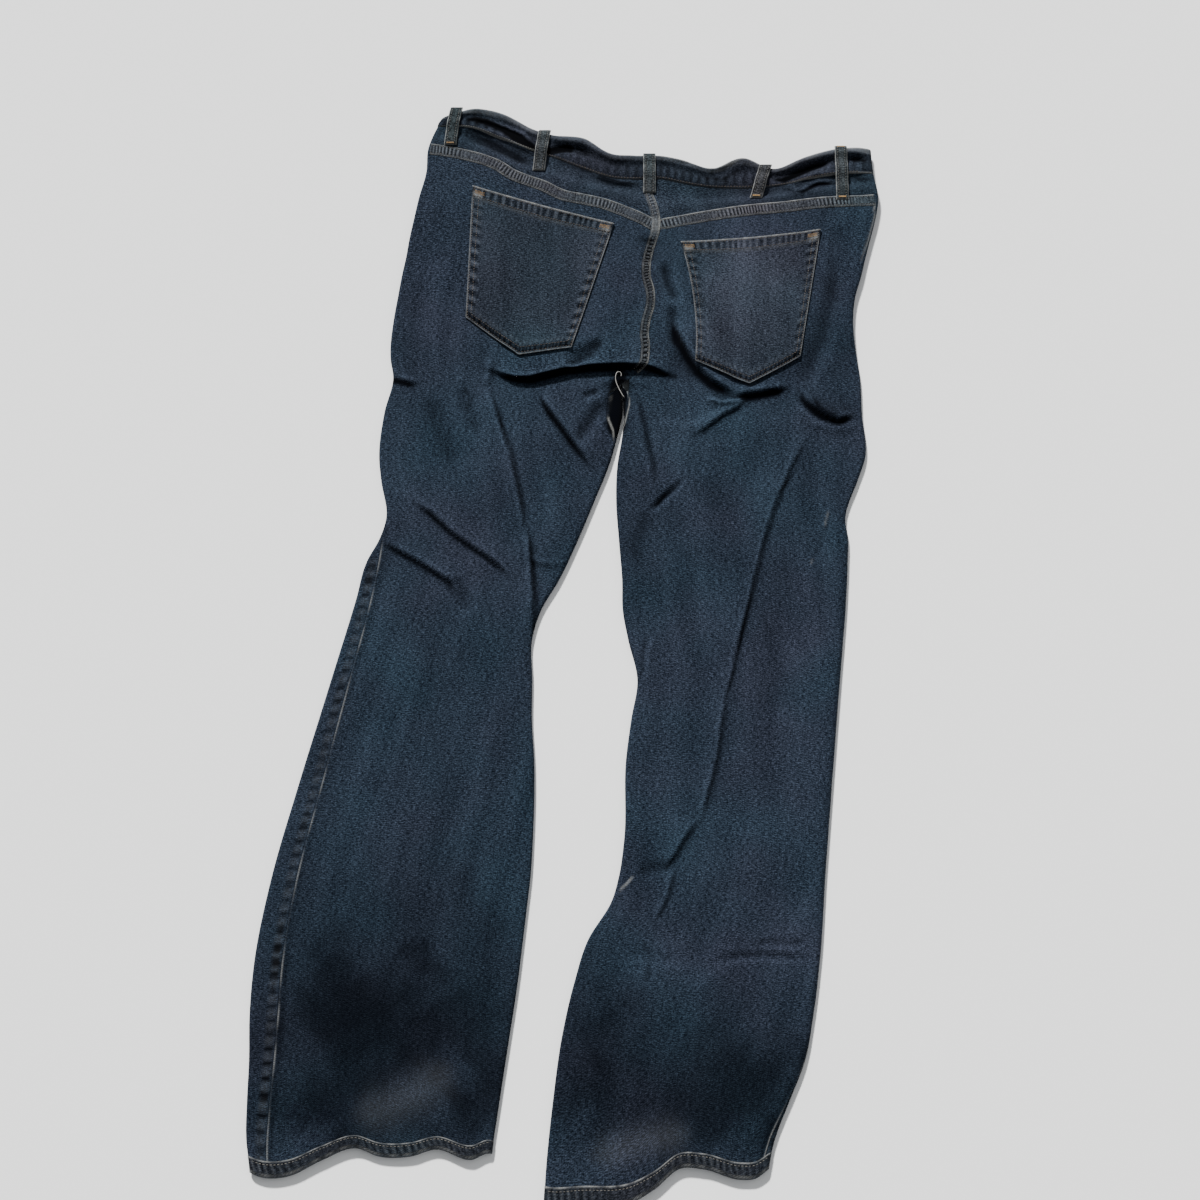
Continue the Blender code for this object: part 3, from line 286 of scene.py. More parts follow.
# Lines of painted shading. Above 0 the amount is painted shade along the deep folds and their
# lower sides, where shadow falls, partly the darker dye left in the creases. Below 0 the lines
# are painted highlights instead, on the lit crests and the rolled edges.
PAINTED_SHADING_LINES = (
    ("amount", "width", "points"),
    # painted shadow under the seat fold, nearly black
    (1.10, 3.6, ((-84, 243), (-67, 239), (-53, 239), (-38, 243), (-18, 248), (6, 251),
        (36, 252), (58, 251))),
    (0.80, 3.2, ((58, 251), (72, 247), (84, 243), (96, 240))),
    # painted shadow inside the crotch opening, nearly black
    (4.00, 7.0, ((36.5, 250), (36, 238), (34, 224), (32.5, 210), (31.5, 195), (32, 174))),
    (0.75, 3.8, ((89, 298), (94, 277), (101, 260), (110, 245), (123, 231), (136, 223),
        (150, 219))),
    (0.90, 4.5, ((148, 219), (162, 219), (176, 222), (196, 230))),
    (0.80, 4.5, ((218, 214), (228, 203), (238, 197), (248, 195), (260, 200))),
    (0.60, 1.6, ((222, 220), (228, 209), (238, 201), (250, 198))),
    (0.40, 8.0, ((214, 236), (222, 218), (234, 206), (248, 203), (266, 212))),
    (0.22, 11.0, ((206, 232), (214, 262), (226, 296), (238, 330), (246, 372))),
    (0.20, 9.0, ((-158, 232), (-148, 205), (-136, 175), (-122, 140))),
    (-0.18, 8.0, ((-178, 212), (-168, 172), (-154, 130))),
    (-0.16, 9.0, ((-34, 140), (-26, 100), (-20, 62))),
    (-0.16, 10.0, ((96, 196), (90, 160), (92, 126), (104, 96))),
    (0.16, 12.0, ((176, 200), (166, 160), (150, 120), (136, 84))),
    (0.95, 3.0, ((-208, 249), (-196, 242), (-182, 237), (-164, 232))),
    (0.35, 6.0, ((80, 300), (86, 280), (92, 262), (102, 244), (114, 232))),
    (0.50, 3.2, ((-44, 224), (-33, 202), (-22, 187), (-11, 170), (2, 153))),
    (0.50, 1.2, ((-43, 220), (-33, 204), (-22, 190), (-11, 173), (4, 154))),
    (0.70, 1.6, ((-92, 228), (-80, 188), (-66, 134), (-58, 96), (-54, 74))),
    (0.90, 1.6, ((-53, 92), (-50, 50), (-47, 0), (-46, -30), (-46, -70))),
    (0.16, 3.4, ((-166, 110), (-136, 86), (-110, 65), (-80, 42))),
    (0.30, 1.9, ((-168, 113), (-136, 87), (-110, 66), (-84, 46), (-64, 30))),
    (0.20, 3.6, ((-194, 68), (-163, 50), (-140, 35), (-126, 26))),
    (0.30, 1.9, ((-200, 75), (-163, 51), (-140, 36), (-124, 20))),
    (0.30, 5.0, ((-3, 178), (6, 204), (17, 221))),
    (0.60, 1.2, ((210, 151), (201, 137), (186, 115), (177, 89), (168, 54))),
    (0.75, 1.2, ((168, 54), (162, 34), (158, 11), (153, -9), (149, -28), (143, -55))),
    (0.55, 1.2, ((143, -55), (136, -80), (130, -96))),
    (0.30, 1.4, ((238, 100), (232, 85), (228, 73), (219, 48))),
    (0.30, 1.6, ((51, 223), (61, 185), (67, 154), (69, 113))),
    (0.45, 3.0, ((69, 107), (74, 114), (85, 128))),
    (0.35, 7.0, ((68, 103), (56, 87), (48, 65), (54, 44))),
    (0.18, 14.0, ((113, 139), (124, 120), (131, 103))),
    (-0.35, 4.0, ((65, 195), (103, 191), (128, 202), (147, 215))),
    (-0.30, 3.0, ((126, 239), (139, 229), (151, 220))),
    (-0.40, 2.0, ((211, 197), (225, 191), (244, 193), (258, 206))),
    (-0.30, 5.0, ((-103, 224), (-97, 237), (-92, 246))),
    (0.45, 3.0, ((-119, 233), (-111, 221), (-114, 203))),
    # waistband: painted highlights on the curled edge, painted shade in the hollows under it
    (-0.85, 4.0, ((-115, 534), (-99, 532), (-80, 525), (-64, 516), (-55, 506))),
    (-0.45, 3.6, ((-114, 520), (-103, 516), (-87, 508), (-73, 501), (-61, 495))),
    (2.20, 2.8, ((-122, 527), (-112, 530), (-99, 527), (-85, 519), (-73, 512), (-63, 503),
        (-54, 494))),
    (2.20, 4.2, ((-80, 513), (-64, 505), (-54, 497), (-47, 490))),
    (0.65, 6.0, ((-131, 515), (-118, 515), (-105, 509), (-90, 501), (-74, 492), (-64, 485),
        (-51, 479))),
    (2.00, 4.0, ((-41, 493), (-33, 493), (-23, 495), (-10, 496))),
    (-0.60, 2.6, ((-33, 504), (-20, 504), (-4, 504), (11, 495), (26, 487))),
    (0.45, 2.0, ((-36, 487), (-20, 479), (-2, 472), (17, 465), (36, 458))),
    (1.15, 1.9, ((8, 466), (24, 460), (37, 456.5), (58, 455))),
    (-0.50, 2.2, ((75, 482), (94, 478), (114, 476), (125, 468), (137, 465), (151, 475),
        (165, 479), (174, 475))),
    (0.55, 2.6, ((114, 470), (125, 461), (141, 460), (153, 469), (166, 472))),
    (-0.70, 3.4, ((200, 472), (215, 478), (231, 485), (247, 490), (271, 492), (288, 489))),
    (0.90, 3.0, ((190, 460), (201, 460), (213, 466), (229, 473), (247, 480))),
    (0.60, 2.2, ((270, 482), (290, 482))),
    (-0.45, 2.6, ((221, 468), (237, 472), (254, 475), (290, 475))),
    (0.90, 2.2, ((211, 450), (220, 446), (228, 451), (236, 456), (256, 456))),
    (0.60, 2.2, ((272, 461), (291, 461))),
    (0.55, 2.4, ((-28, 421), (-6, 416), (14, 410))),
    (0.50, 2.4, ((66, 398), (56, 394), (70, 390))),
)
# Lines worn white: folded edges, the panel edges at the crotch, two nicks by the knees, and
# two broad grey patches above the hems.
PALE_LINES = (
    ("amount", "width", "points"),
    (0.35, 0.9, ((-124, 546), (-95, 541), (-70, 531), (-56, 519))),
    (0.22, 1.0, ((75, 487), (104, 481), (128, 472), (145, 476), (163, 484))),
    (0.30, 1.0, ((196, 474), (222, 484), (252, 494), (284, 495))),
    (0.45, 0.9, ((47, -257), (45, -259), (40, -265), (33, -272))),
    (0.60, 0.6, ((27, 222), (24.5, 211), (23.5, 197), (28.5, 185), (29.5, 172))),
    (0.50, 0.6, ((45, 222), (44.5, 212), (41.5, 199), (39, 188))),
    (0.16, 0.9, ((235, 101), (233, 93), (231, 83))),
    (0.16, 0.9, ((219, 53), (217, 45))),
    (0.35, 0.8, ((292, 452), (292, 419), (284, 391), (276, 366))),
    (0.035, 17.0, ((-206, -474), (-172, -466), (-146, -454), (-128, -440), (-112, -424))),
    (0.035, 14.0, ((2, -510), (28, -503), (56, -494), (100, -486))),
)

# Fading of the blue, as soft patches: paler where the amount is positive, darker below 0.
WEAR_PATCHES = (
    ("x", "y", "across", "up", "amount"),
    (-165, -404, 134, 108, -0.58), (-180, -478, 90, 26, -0.22), (-92, -400, 46, 80, -0.22),
    (-221, -357, 34, 28, -0.45), (-207, -390, 40, 32, -0.40), (-176, -403, 34, 34, -0.30),
    (-216, -312, 11, 15, -0.22), (-146, -333, 17, 13, -0.28), (-134, -378, 12, 13, -0.30),
    (-92, -339, 25, 40, 0.16), (-132, -444, 24, 24, 0.46), (-226, -462, 40, 34, -0.26),
    (-166, -462, 38, 14, 0.24), (-228, -473, 25, 9, -0.20), (-86, -460, 20, 30, -0.34),
    (-275, -424, 28, 60, -0.12), (-108, -273, 12, 15, -0.20), (-86, -316, 17, 24, -0.18),
    (-170, -275, 86, 46, -0.16), (84, -452, 116, 72, -0.42), (96, -478, 60, 34, -0.22),
    (158, -440, 44, 56, -0.44), (13, -404, 27, 70, -0.36), (96, -415, 28, 28, -0.15),
    (103, -340, 40, 13, 0.26), (28, -503, 23, 18, 0.50), (-6, -470, 20, 40, -0.16),
    (60, -490, 36, 12, 0.12), (-60, 200, 70, 60, 0.12), (-172, 330, 22, 90, -0.20),
    (60, 60, 60, 60, -0.12), (170, 110, 50, 60, 0.10), (140, 190, 60, 26, 0.20),
    (160, 330, 50, 60, 0.55), (-40, 330, 60, 60, 0.05), (250, 300, 26, 60, -0.12),
    (-160, 330, 24, 80, 0.10),
)


def column(table, name, at):
    """Smooth value of a table's named column: cubic pieces with averaged slopes."""
    rows = np.array(table[1:], dtype=float)
    keys = rows[:, 0]
    values = rows[:, table[0].index(name)]
    order = np.argsort(keys)
    keys, values = keys[order], values[order]
    slopes = np.gradient(values, keys)
    at = np.clip(np.asarray(at, dtype=float), keys[0], keys[-1])
    i = np.clip(np.searchsorted(keys, at) - 1, 0, len(keys) - 2)
    step = keys[i + 1] - keys[i]
    t = (at - keys[i]) / step
    return (
        values[i] * (1 + 2 * t) * (1 - t) ** 2
        + values[i + 1] * t * t * (3 - 2 * t)
        + step * slopes[i] * t * (1 - t) ** 2
        - step * slopes[i + 1] * t * t * (1 - t)
    )


def ease(low, high, at):
    """Smooth step 3t^2 - 2t^3 from 0 at low to 1 at high."""
    t = unit((at - low) / (high - low))
    return t * t * (3 - 2 * t)


def bell(at, middle, width, power=2):
    """Bell curve, 1 at its middle: exp of minus (distance from it / width) to the power."""
    return np.exp(-((at - middle) / width) ** power)


def unit(values):
    """Values kept from 0 to 1."""
    return np.clip(values, 0, 1)


def graded(*runs):
    """Levels of the mesh rows, from runs of (start, end, nearly even step)."""
    levels = [runs[0][0]]
    for start, end, step in runs:
        count = max(1, round(abs(start - end) / step))
        levels.extend(start + (end - start) * (k + 1) / count for k in range(count))
    return np.array(levels, dtype=float)


def row_y(level, x):
    """Y of a row at X: its level in the legs, blended to the seams and hem lines at the ends."""
    level, x = np.broadcast_arrays(np.asarray(level, float), np.asarray(x, float))
    waist, band, yoke = (column(WAIST, name, x) for name in ("edge", "band", "yoke"))
    hem = column(HEM, "edge", x)
    seat = level + unit((level - SEAT_LEVEL) / (YOKE_LEVEL - SEAT_LEVEL)) * (yoke - YOKE_LEVEL)
    calf = unit((CALF_LEVEL - level) / (CALF_LEVEL - HEM_LEVEL)) * (hem - HEM_LEVEL)
    over_yoke = yoke + (level - YOKE_LEVEL) / (BAND_LEVEL - YOKE_LEVEL) * (band - yoke)
    over_band = band + (level - BAND_LEVEL) / (WAIST_LEVEL - BAND_LEVEL) * (waist - band)
    y = np.where(level > YOKE_LEVEL, over_yoke, seat + calf)
    return np.where(level > BAND_LEVEL, over_band, y)


def level_of(x, y):
    """Level of a point of the plan: the inverse of row_y, stretch by stretch."""
    waist, band, yoke = (column(WAIST, name, x) for name in ("edge", "band", "yoke"))
    pull = (yoke - YOKE_LEVEL) / (YOKE_LEVEL - SEAT_LEVEL)
    level = np.where(y > SEAT_LEVEL, (y + SEAT_LEVEL * pull) / (1 + pull), y)
    in_yoke = YOKE_LEVEL + (y - yoke) / (band - yoke) * (BAND_LEVEL - YOKE_LEVEL)
    in_band = BAND_LEVEL + (y - band) / (waist - band) * (WAIST_LEVEL - BAND_LEVEL)
    level = np.where(y > yoke, in_yoke, level)
    level = np.where(y > band, in_band, level)
    sag = (column(HEM, "edge", x) - HEM_LEVEL) / (CALF_LEVEL - HEM_LEVEL)
    return np.where(y < CALF_LEVEL, (y - CALF_LEVEL * sag) / (1 - sag), level)


def beside_line(x, y, points):
    """Signed distance to the left of a line of points, and the arc length at the nearest one."""
    nearest = np.full(x.shape, 1e9)
    side = np.zeros(x.shape)
    place = np.zeros(x.shape)
    reach = 0.0
    for (x0, y0), (x1, y1) in zip(points[:-1], points[1:]):
        dx, dy = x1 - x0, y1 - y0
        length = math.hypot(dx, dy)
        along = np.clip(((x - x0) * dx + (y - y0) * dy) / length, 0, length)
        apart = np.hypot(x - x0 - along * dx / length, y - y0 - along * dy / length)
        closer = apart < nearest
        nearest = np.where(closer, apart, nearest)
        side = np.where(closer, apart * np.sign((y - y0) * dx - (x - x0) * dy), side)
        place = np.where(closer, reach + along, place)
        reach += length
    return side, place, reach


def close_to(x, y, points, margin):
    """Points of the plan within a margin of a line's box."""
    px, py = np.array(points, dtype=float).T
    inside_x = (x > px.min() - margin) & (x < px.max() + margin)
    return inside_x & (y > py.min() - margin) & (y < py.max() + margin)


def fold_heights(x, y):
    """Sum of the folds: a tanh step with a cubic decay on its raised side, or a bell."""
    x, y = np.broadcast_arrays(np.asarray(x, dtype=float), np.asarray(y, dtype=float))
    total = np.zeros(x.shape)
    for height, width, run, points in FOLDS[1:]:
        near = close_to(x, y, points, 3 * width + 3 * run)
        if not near.any():
            continue
        side, place, length = beside_line(x[near], y[near], points)
        fading = min(0.28 * length, 30.0)
        fade = ease(0, fading, place) * ease(length, length - fading, place)
        if run:
            rounded = unit(1 - np.maximum(side, 0) / (3 * run)) ** 3
            profile = 0.5 * (1 + np.tanh(side / (0.5 * width))) * rounded
        else:
            profile = bell(side, 0, width)
        total[near] += height * fade * profile
    return total


def crease_shade(x, y):
    """Painted shade at the foot of each step, where its shadow falls, and along each trough, partly
    the darker dye left in the creases: bells fainter and narrower towards the ends, plus the
    painted shading lines, whose highlights come out below 0."""
    shade = np.zeros(x.shape)
    for height, width, run, points in FOLDS[1:]:
        near = close_to(x, y, points, 3 * width)
        if near.any() and (run or height < 0):
            side, place, length = beside_line(x[near], y[near], points)
            fade = ease(0, 0.28 * length, place) * ease(length, 0.72 * length, place)
            reach = width * (0.45 + 0.55 * fade)
            foot = bell(side + 0.7 * reach, 0, 0.8 * reach) if run else bell(side, 0, reach)
            shade[near] += 0.095 * abs(height) * fade ** 0.7 * foot * (1.0 if run else 0.6)
    return shade + line_tone(PAINTED_SHADING_LINES, x, y)


def line_tone(lines, x, y):
    """Sum over a table of lines of amount times a bell of the distance, fainter and down to
    half as wide towards the two ends of each line."""
    tone = np.zeros(x.shape)
    for amount, width, points in lines[1:]:
        near = close_to(x, y, points, 3 * width)
        if near.any():
            side, place, length = beside_line(x[near], y[near], points)
            taper = max(4.0, 0.22 * length)
            ends = ease(-0.5, taper, place) * ease(length + 0.5, length - taper, place)
            reach = width * (0.5 + 0.5 * ends)
            tone[near] += amount * ends ** 0.7 * bell(side, 0, reach)
    return tone


def undulation(x, y):
    """Slack of washed cloth: a sum of slow crossed sines, under half a millimetre high."""
    slow = 0.26 * np.sin(x / 17 + y / 41 + 1.3) + 0.22 * np.sin(y / 13 - x / 29 + 0.4)
    quick = 0.16 * np.sin(x / 7.3 + y / 19 + 2.1) * np.sin(y / 47 - x / 61)
    return slow + quick + 0.10 * np.sin(y / 5.1 + 2.2 * np.sin(x / 23)) * np.sin(x / 31 + y / 83)


def floor_rise(level):
    """Height of the lower layer: flat on the ground, and up over the fly and the button."""
    fly = FLY_RISE * ease(FLY_LOW_LEVEL - 45, FLY_LOW_LEVEL - 8, level)
    return fly + (BAND_RISE - FLY_RISE) * ease(395, 445, level)


def top_height(x, y, level):
    """Height of the upper layer's outer face: rim height, crown, rolls, folds and slack."""
    inside = np.minimum(x - column(OUTER, "left", y), column(OUTER, "right", y) - x)
    gap_left = column(INNER, "left_side", y)
    gap_right = column(INNER, "right_side", y)
    to_gap = np.where(x < 0.5 * (gap_left + gap_right), gap_left - x, x - gap_right)
    joined = CROWN_WIDTH * ease(CROTCH_LEVEL - 8, CROTCH_LEVEL + 4, y)
    inside = np.where(joined < CROWN_WIDTH, np.minimum(inside, to_gap + joined), inside)
    rim = 2 * TURN_RADIUS + floor_rise(level)
    height = rim + (column(LOFT, "middle", level) - rim) * ease(0, CROWN_WIDTH, inside)
    rolls = np.where(level > YOKE_LEVEL, column(ROLLS, "rise", level), 0.0)
    height = height + (rolls + fold_heights(x, y)) * ease(-1, 16, inside)
    height = height + undulation(x, y) * ease(2, 26, inside)
    return np.maximum(height, floor_rise(level) + 2 * CLOTH + LAYER_GAP)


def front_y(level, x):
    """Y of a row underneath: like the back's, but its waist is one smooth shallow dip."""
    low = column(OUTER, "left", level) + 0 * x
    high = column(OUTER, "right", level) + 0 * x
    across = unit((x - low) / (high - low))
    smooth = row_y(level, low) * (1 - across) + row_y(level, high) * across
    smooth = smooth - FRONT_DROP * 4 * across * (1 - across)
    straight = row_y(level, x)
    return straight + (smooth - straight) * ease(SEAT_LEVEL, SEAT_LEVEL + 80, level)


def wall_drop(x, y, level):
    """Thickness measured straight down: cloth times the root of 1 + slope squared."""
    across = 0.5 * (top_height(x + 1, y, level) - top_height(x - 1, y, level))
    upward = 0.5 * (top_height(x, y + 1, level) - top_height(x, y - 1, level))
    return CLOTH * np.sqrt(1 + across ** 2 + upward ** 2)


def underside_creases(x, y):
    """Shallow creases of the fronts, lifted off the table: a few long soft hollows."""
    lift = 0.0 * x
    for x0, y0, reach, width in (
        (-110, 150, 60, 5), (-140, 118, 70, 6), (-175, 40, 50, 5), (120, 168, 70, 6),
        (150, 120, 60, 5), (130, 20, 70, 6), (-60, 300, 60, 7), (150, 300, 60, 7),
    ):
        bowed = y - y0 - 0.18 * (x - x0)
        lift = lift + 0.7 * np.exp(-(bowed / width) ** 2 - ((x - x0) / reach) ** 4)
    return lift


def turn_length(offset):
    """Distance along the ring from its side to a point that is offset inwards on top."""
    on_turn = TURN_RADIUS * np.arccos(np.clip(1 - offset / TURN_RADIUS, -1, 1))
    return np.where(offset < TURN_RADIUS, on_turn, QUARTER_TURN + offset - TURN_RADIUS)


def ring_span(low, high):
    """Length of the upper half of a ring between its two sides."""
    return high - low - 2 * TURN_RADIUS + math.pi * TURN_RADIUS


def on_ring(along, level, low, high, inside):
    """Point of a ring's outer or inner face: a half turn, the draped top, a half turn back
    and the flat underside, found from the distance along it."""
    span = ring_span(low, high)
    around = np.mod(along, 2 * span)
    below = around > span
    mirrored = np.where(below, 2 * span - around, around)
    from_low = np.clip(mirrored / TURN_RADIUS, 0, math.pi / 2)
    from_high = np.clip((span - mirrored) / TURN_RADIUS, 0, math.pi / 2)
    x = low + TURN_RADIUS + (mirrored - QUARTER_TURN)
    x = np.where(mirrored < QUARTER_TURN, low + TURN_RADIUS * (1 - np.cos(from_low)), x)
    x = np.where(span - mirrored < QUARTER_TURN, high - TURN_RADIUS * (1 - np.cos(from_high)), x)
    turn = np.minimum(np.sin(from_low), np.sin(from_high))
    y = np.where(below, front_y(level, x), row_y(level, x))
    top = top_height(x, row_y(level, x), level)
    bottom = underside_creases(x, y) * ease(1, 14, np.minimum(x - low, high - x))
    bottom = floor_rise(level) + bottom
    if inside:
        top = top - wall_drop(x, row_y(level, x), level)
        bottom = bottom + CLOTH
        x = x + CLOTH * (np.cos(from_low) - np.cos(from_high))
    half = 0.5 * (top - bottom) * turn
    height = 0.5 * (top + bottom) + np.where(below, -half, half)
    return np.stack([x, y - np.where(below, 0.0, lean(x, y)), height], axis=-1)


def ring_faces(along, levels, low, high):
    """Level of each point of a wall of cloth on the rings, and its outer and inner faces."""
    row = levels[:, None] + 0 * along
    faces = (on_ring(along, row, low[:, None], high[:, None], inside) for inside in (False, True))
    return (row, *faces)


def lean(x, y):
    """How far the crest of the seat fold hangs over towards the thighs: a bell across it."""
    crest = np.interp(x, *np.array(SEAT_FOLD, dtype=float).T) + 6
    reach = ease(-98, -66, x) * ease(100, 70, x)
    return 6.5 * reach * bell(y, crest, 8)


def side_lines(level):
    """X of the two side folds along a row."""
    left = column(OUTER, "left", row_y(level, column(OUTER, "left", level)))
    right = column(OUTER, "right", row_y(level, column(OUTER, "right", level)))
    return left, right


def inner_line(side, level):
    """X of a back panel's inner edge along a row, and X of the leg's side there."""
    y = row_y(level, column(INNER, side, level))
    return column(INNER, side, y), column(INNER, side + "_side", y)


def back_span(side, levels):
    """Sides of the ring that a back panel lies on, and the places of its two edges on it."""
    left, right = side_lines(levels)
    inner, leg_side = inner_line(side, levels)
    hip = ease(CROTCH_LEVEL - 10, CROTCH_LEVEL, levels)
    sign = 1.0 if side == "left" else -1.0
    edge = leg_side + (inner + sign * SEAT_MARGIN - leg_side) * hip
    left_seam = turn_length(column(OUTER, "left_wrap", row_y(levels, left)))
    right_seam = turn_length(column(OUTER, "right_wrap", row_y(levels, right)))
    half_gap = 0.5 * SEAM_GAP
    if side == "left":
        end = ring_span(left, edge) - turn_length(edge - inner) - half_gap
        return left, edge, left_seam + half_gap, end
    start = turn_length(inner - edge) + half_gap
    return edge, right, start, ring_span(edge, right) - right_seam - half_gap


def spread(start, end, edge_steps, count):
    """Positions from start to end: close at both ends, even between."""
    steps = np.array(edge_steps)[None, :]
    first = start[:, None] + steps
    last = end[:, None] - steps[:, ::-1]
    t = (np.arange(1, count) / count)[None, :]
    return np.concatenate([first, first[:, -1:] + (last[:, :1] - first[:, -1:]) * t, last], axis=1)


def wear(x, y):
    """Fading of the blue: the sum of the soft patches, with ragged edges from crossed sines."""
    ragged_x = x + 9 * np.sin(y / 11 + np.sin(x / 17)) + 5 * np.sin(x / 6.3 + y / 9.1)
    ragged_x = ragged_x + 3 * np.sin(y / 3.4 + x / 5.2)
    ragged_y = y + 9 * np.sin(x / 12 + 1.3 * np.sin(y / 23)) + 5 * np.sin(y / 5.7 - x / 8.3)
    ragged_y = ragged_y + 3 * np.sin(x / 3.1 - y / 6.4)
    total = 0.0 * x
    for px, py, across, up, amount in WEAR_PATCHES[1:]:
        apart = ((ragged_x - px) / across) ** 2 + ((ragged_y - py) / up) ** 2
        total = total + amount * np.exp(-apart)
    return np.maximum(total, 0.35 * total - 0.45)


def hollow(x, y, level):
    """How far a point lies below its surroundings 5 mm away, in millimetres."""
    around = top_height(x + 5, y, level) + top_height(x - 5, y, level)
    around = around + top_height(x, y + 5, level) + top_height(x, y - 5, level)
    return 0.25 * around - top_height(x, y, level)


def cloth_tone(points, level, worn):
    """Tone of a stretch of cloth: paler, darker, worn white and wrong side, each 0 to 1. Paler and
    darker hold the fading and the painted shading: painted shade in hollows and creases, painted
    highlights on crests.
    """
    x, y = points[..., 0], points[..., 1] + lean(points[..., 0], points[..., 1])
    sunk = hollow(x, y, level)
    # Painted shade in the hollows and a painted highlight on the crests, over the fading; creases
    # also keep darker dye and crests wear paler. Then the painted shade of the creases and lines.
    fading = wear(x, y) - 0.30 * np.clip(sunk, 0, 2) + 0.35 * np.clip(-sunk, 0, 1.2)
    fading = fading - crease_shade(x, y)
    worn = unit(worn + line_tone(PALE_LINES, x, y))
    return np.stack([unit(fading), unit(-fading), worn, 0 * x], axis=-1)


def cloth_mesh(name, outer, inner, weave, tone, material, wrong_side=1.0):
    """Closed wall between two grids of points, with a UV map in metres along the threads and
    the four tones of the cloth at each point."""
    rows, columns = outer.shape[:2]
    count = rows * columns
    index = np.arange(count).reshape(rows, columns)
    cells = [index[:-1, :-1], index[:-1, 1:], index[1:, 1:], index[1:, :-1]]
    skin = np.stack(cells, -1).reshape(-1, 4)
    rim = np.concatenate([index[0, :-1], index[:-1, -1], index[-1, :0:-1], index[:0:-1, 0]])
    following = np.roll(rim, -1)
    walls = np.stack([following, rim, rim + count, following + count], -1)
    faces = np.concatenate([skin, skin[:, ::-1] + count, walls])
    points = (np.concatenate([outer.reshape(-1, 3), inner.reshape(-1, 3)]) - PLAN_CENTRE) * METRE
    corners = points[faces]
    facing = np.cross(corners[:, 2] - corners[:, 0], corners[:, 3] - corners[:, 1])
    if (corners.mean(axis=1) * facing).sum() < 0:
        faces = faces[:, ::-1]
    mesh = bpy.data.meshes.new(name)
    mesh.from_pydata(points.tolist(), [], faces.tolist())
    uv = np.concatenate([weave.reshape(-1, 2), weave.reshape(-1, 2)])[faces.reshape(-1)]
    mesh.uv_layers.new(name="weave").data.foreach_set("uv", uv.reshape(-1).astype(np.float32))
    behind = tone.reshape(-1, 4).copy()
    behind[:, 2] = 0.0
    behind[:, 3] = wrong_side
    tones = mesh.attributes.new("tone", "FLOAT_COLOR", "POINT")
    both_sides = np.concatenate([tone.reshape(-1, 4), behind]).reshape(-1)
    tones.data.foreach_set("color", both_sides.astype(np.float32))
    mesh.shade_smooth()
    mesh.set_sharp_from_angle(angle=math.radians(60))
    mesh.materials.append(material)
    piece = placed(name, mesh)
    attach(piece, "root")
    return piece


WORN_WHITE = (0.260, 0.262, 0.250, 1.0)
WRONG_SIDE = ((0.05, 0.06, 0.07, 1.0), (0.17, 0.18, 0.18, 1.0))  # dark and light weft threads


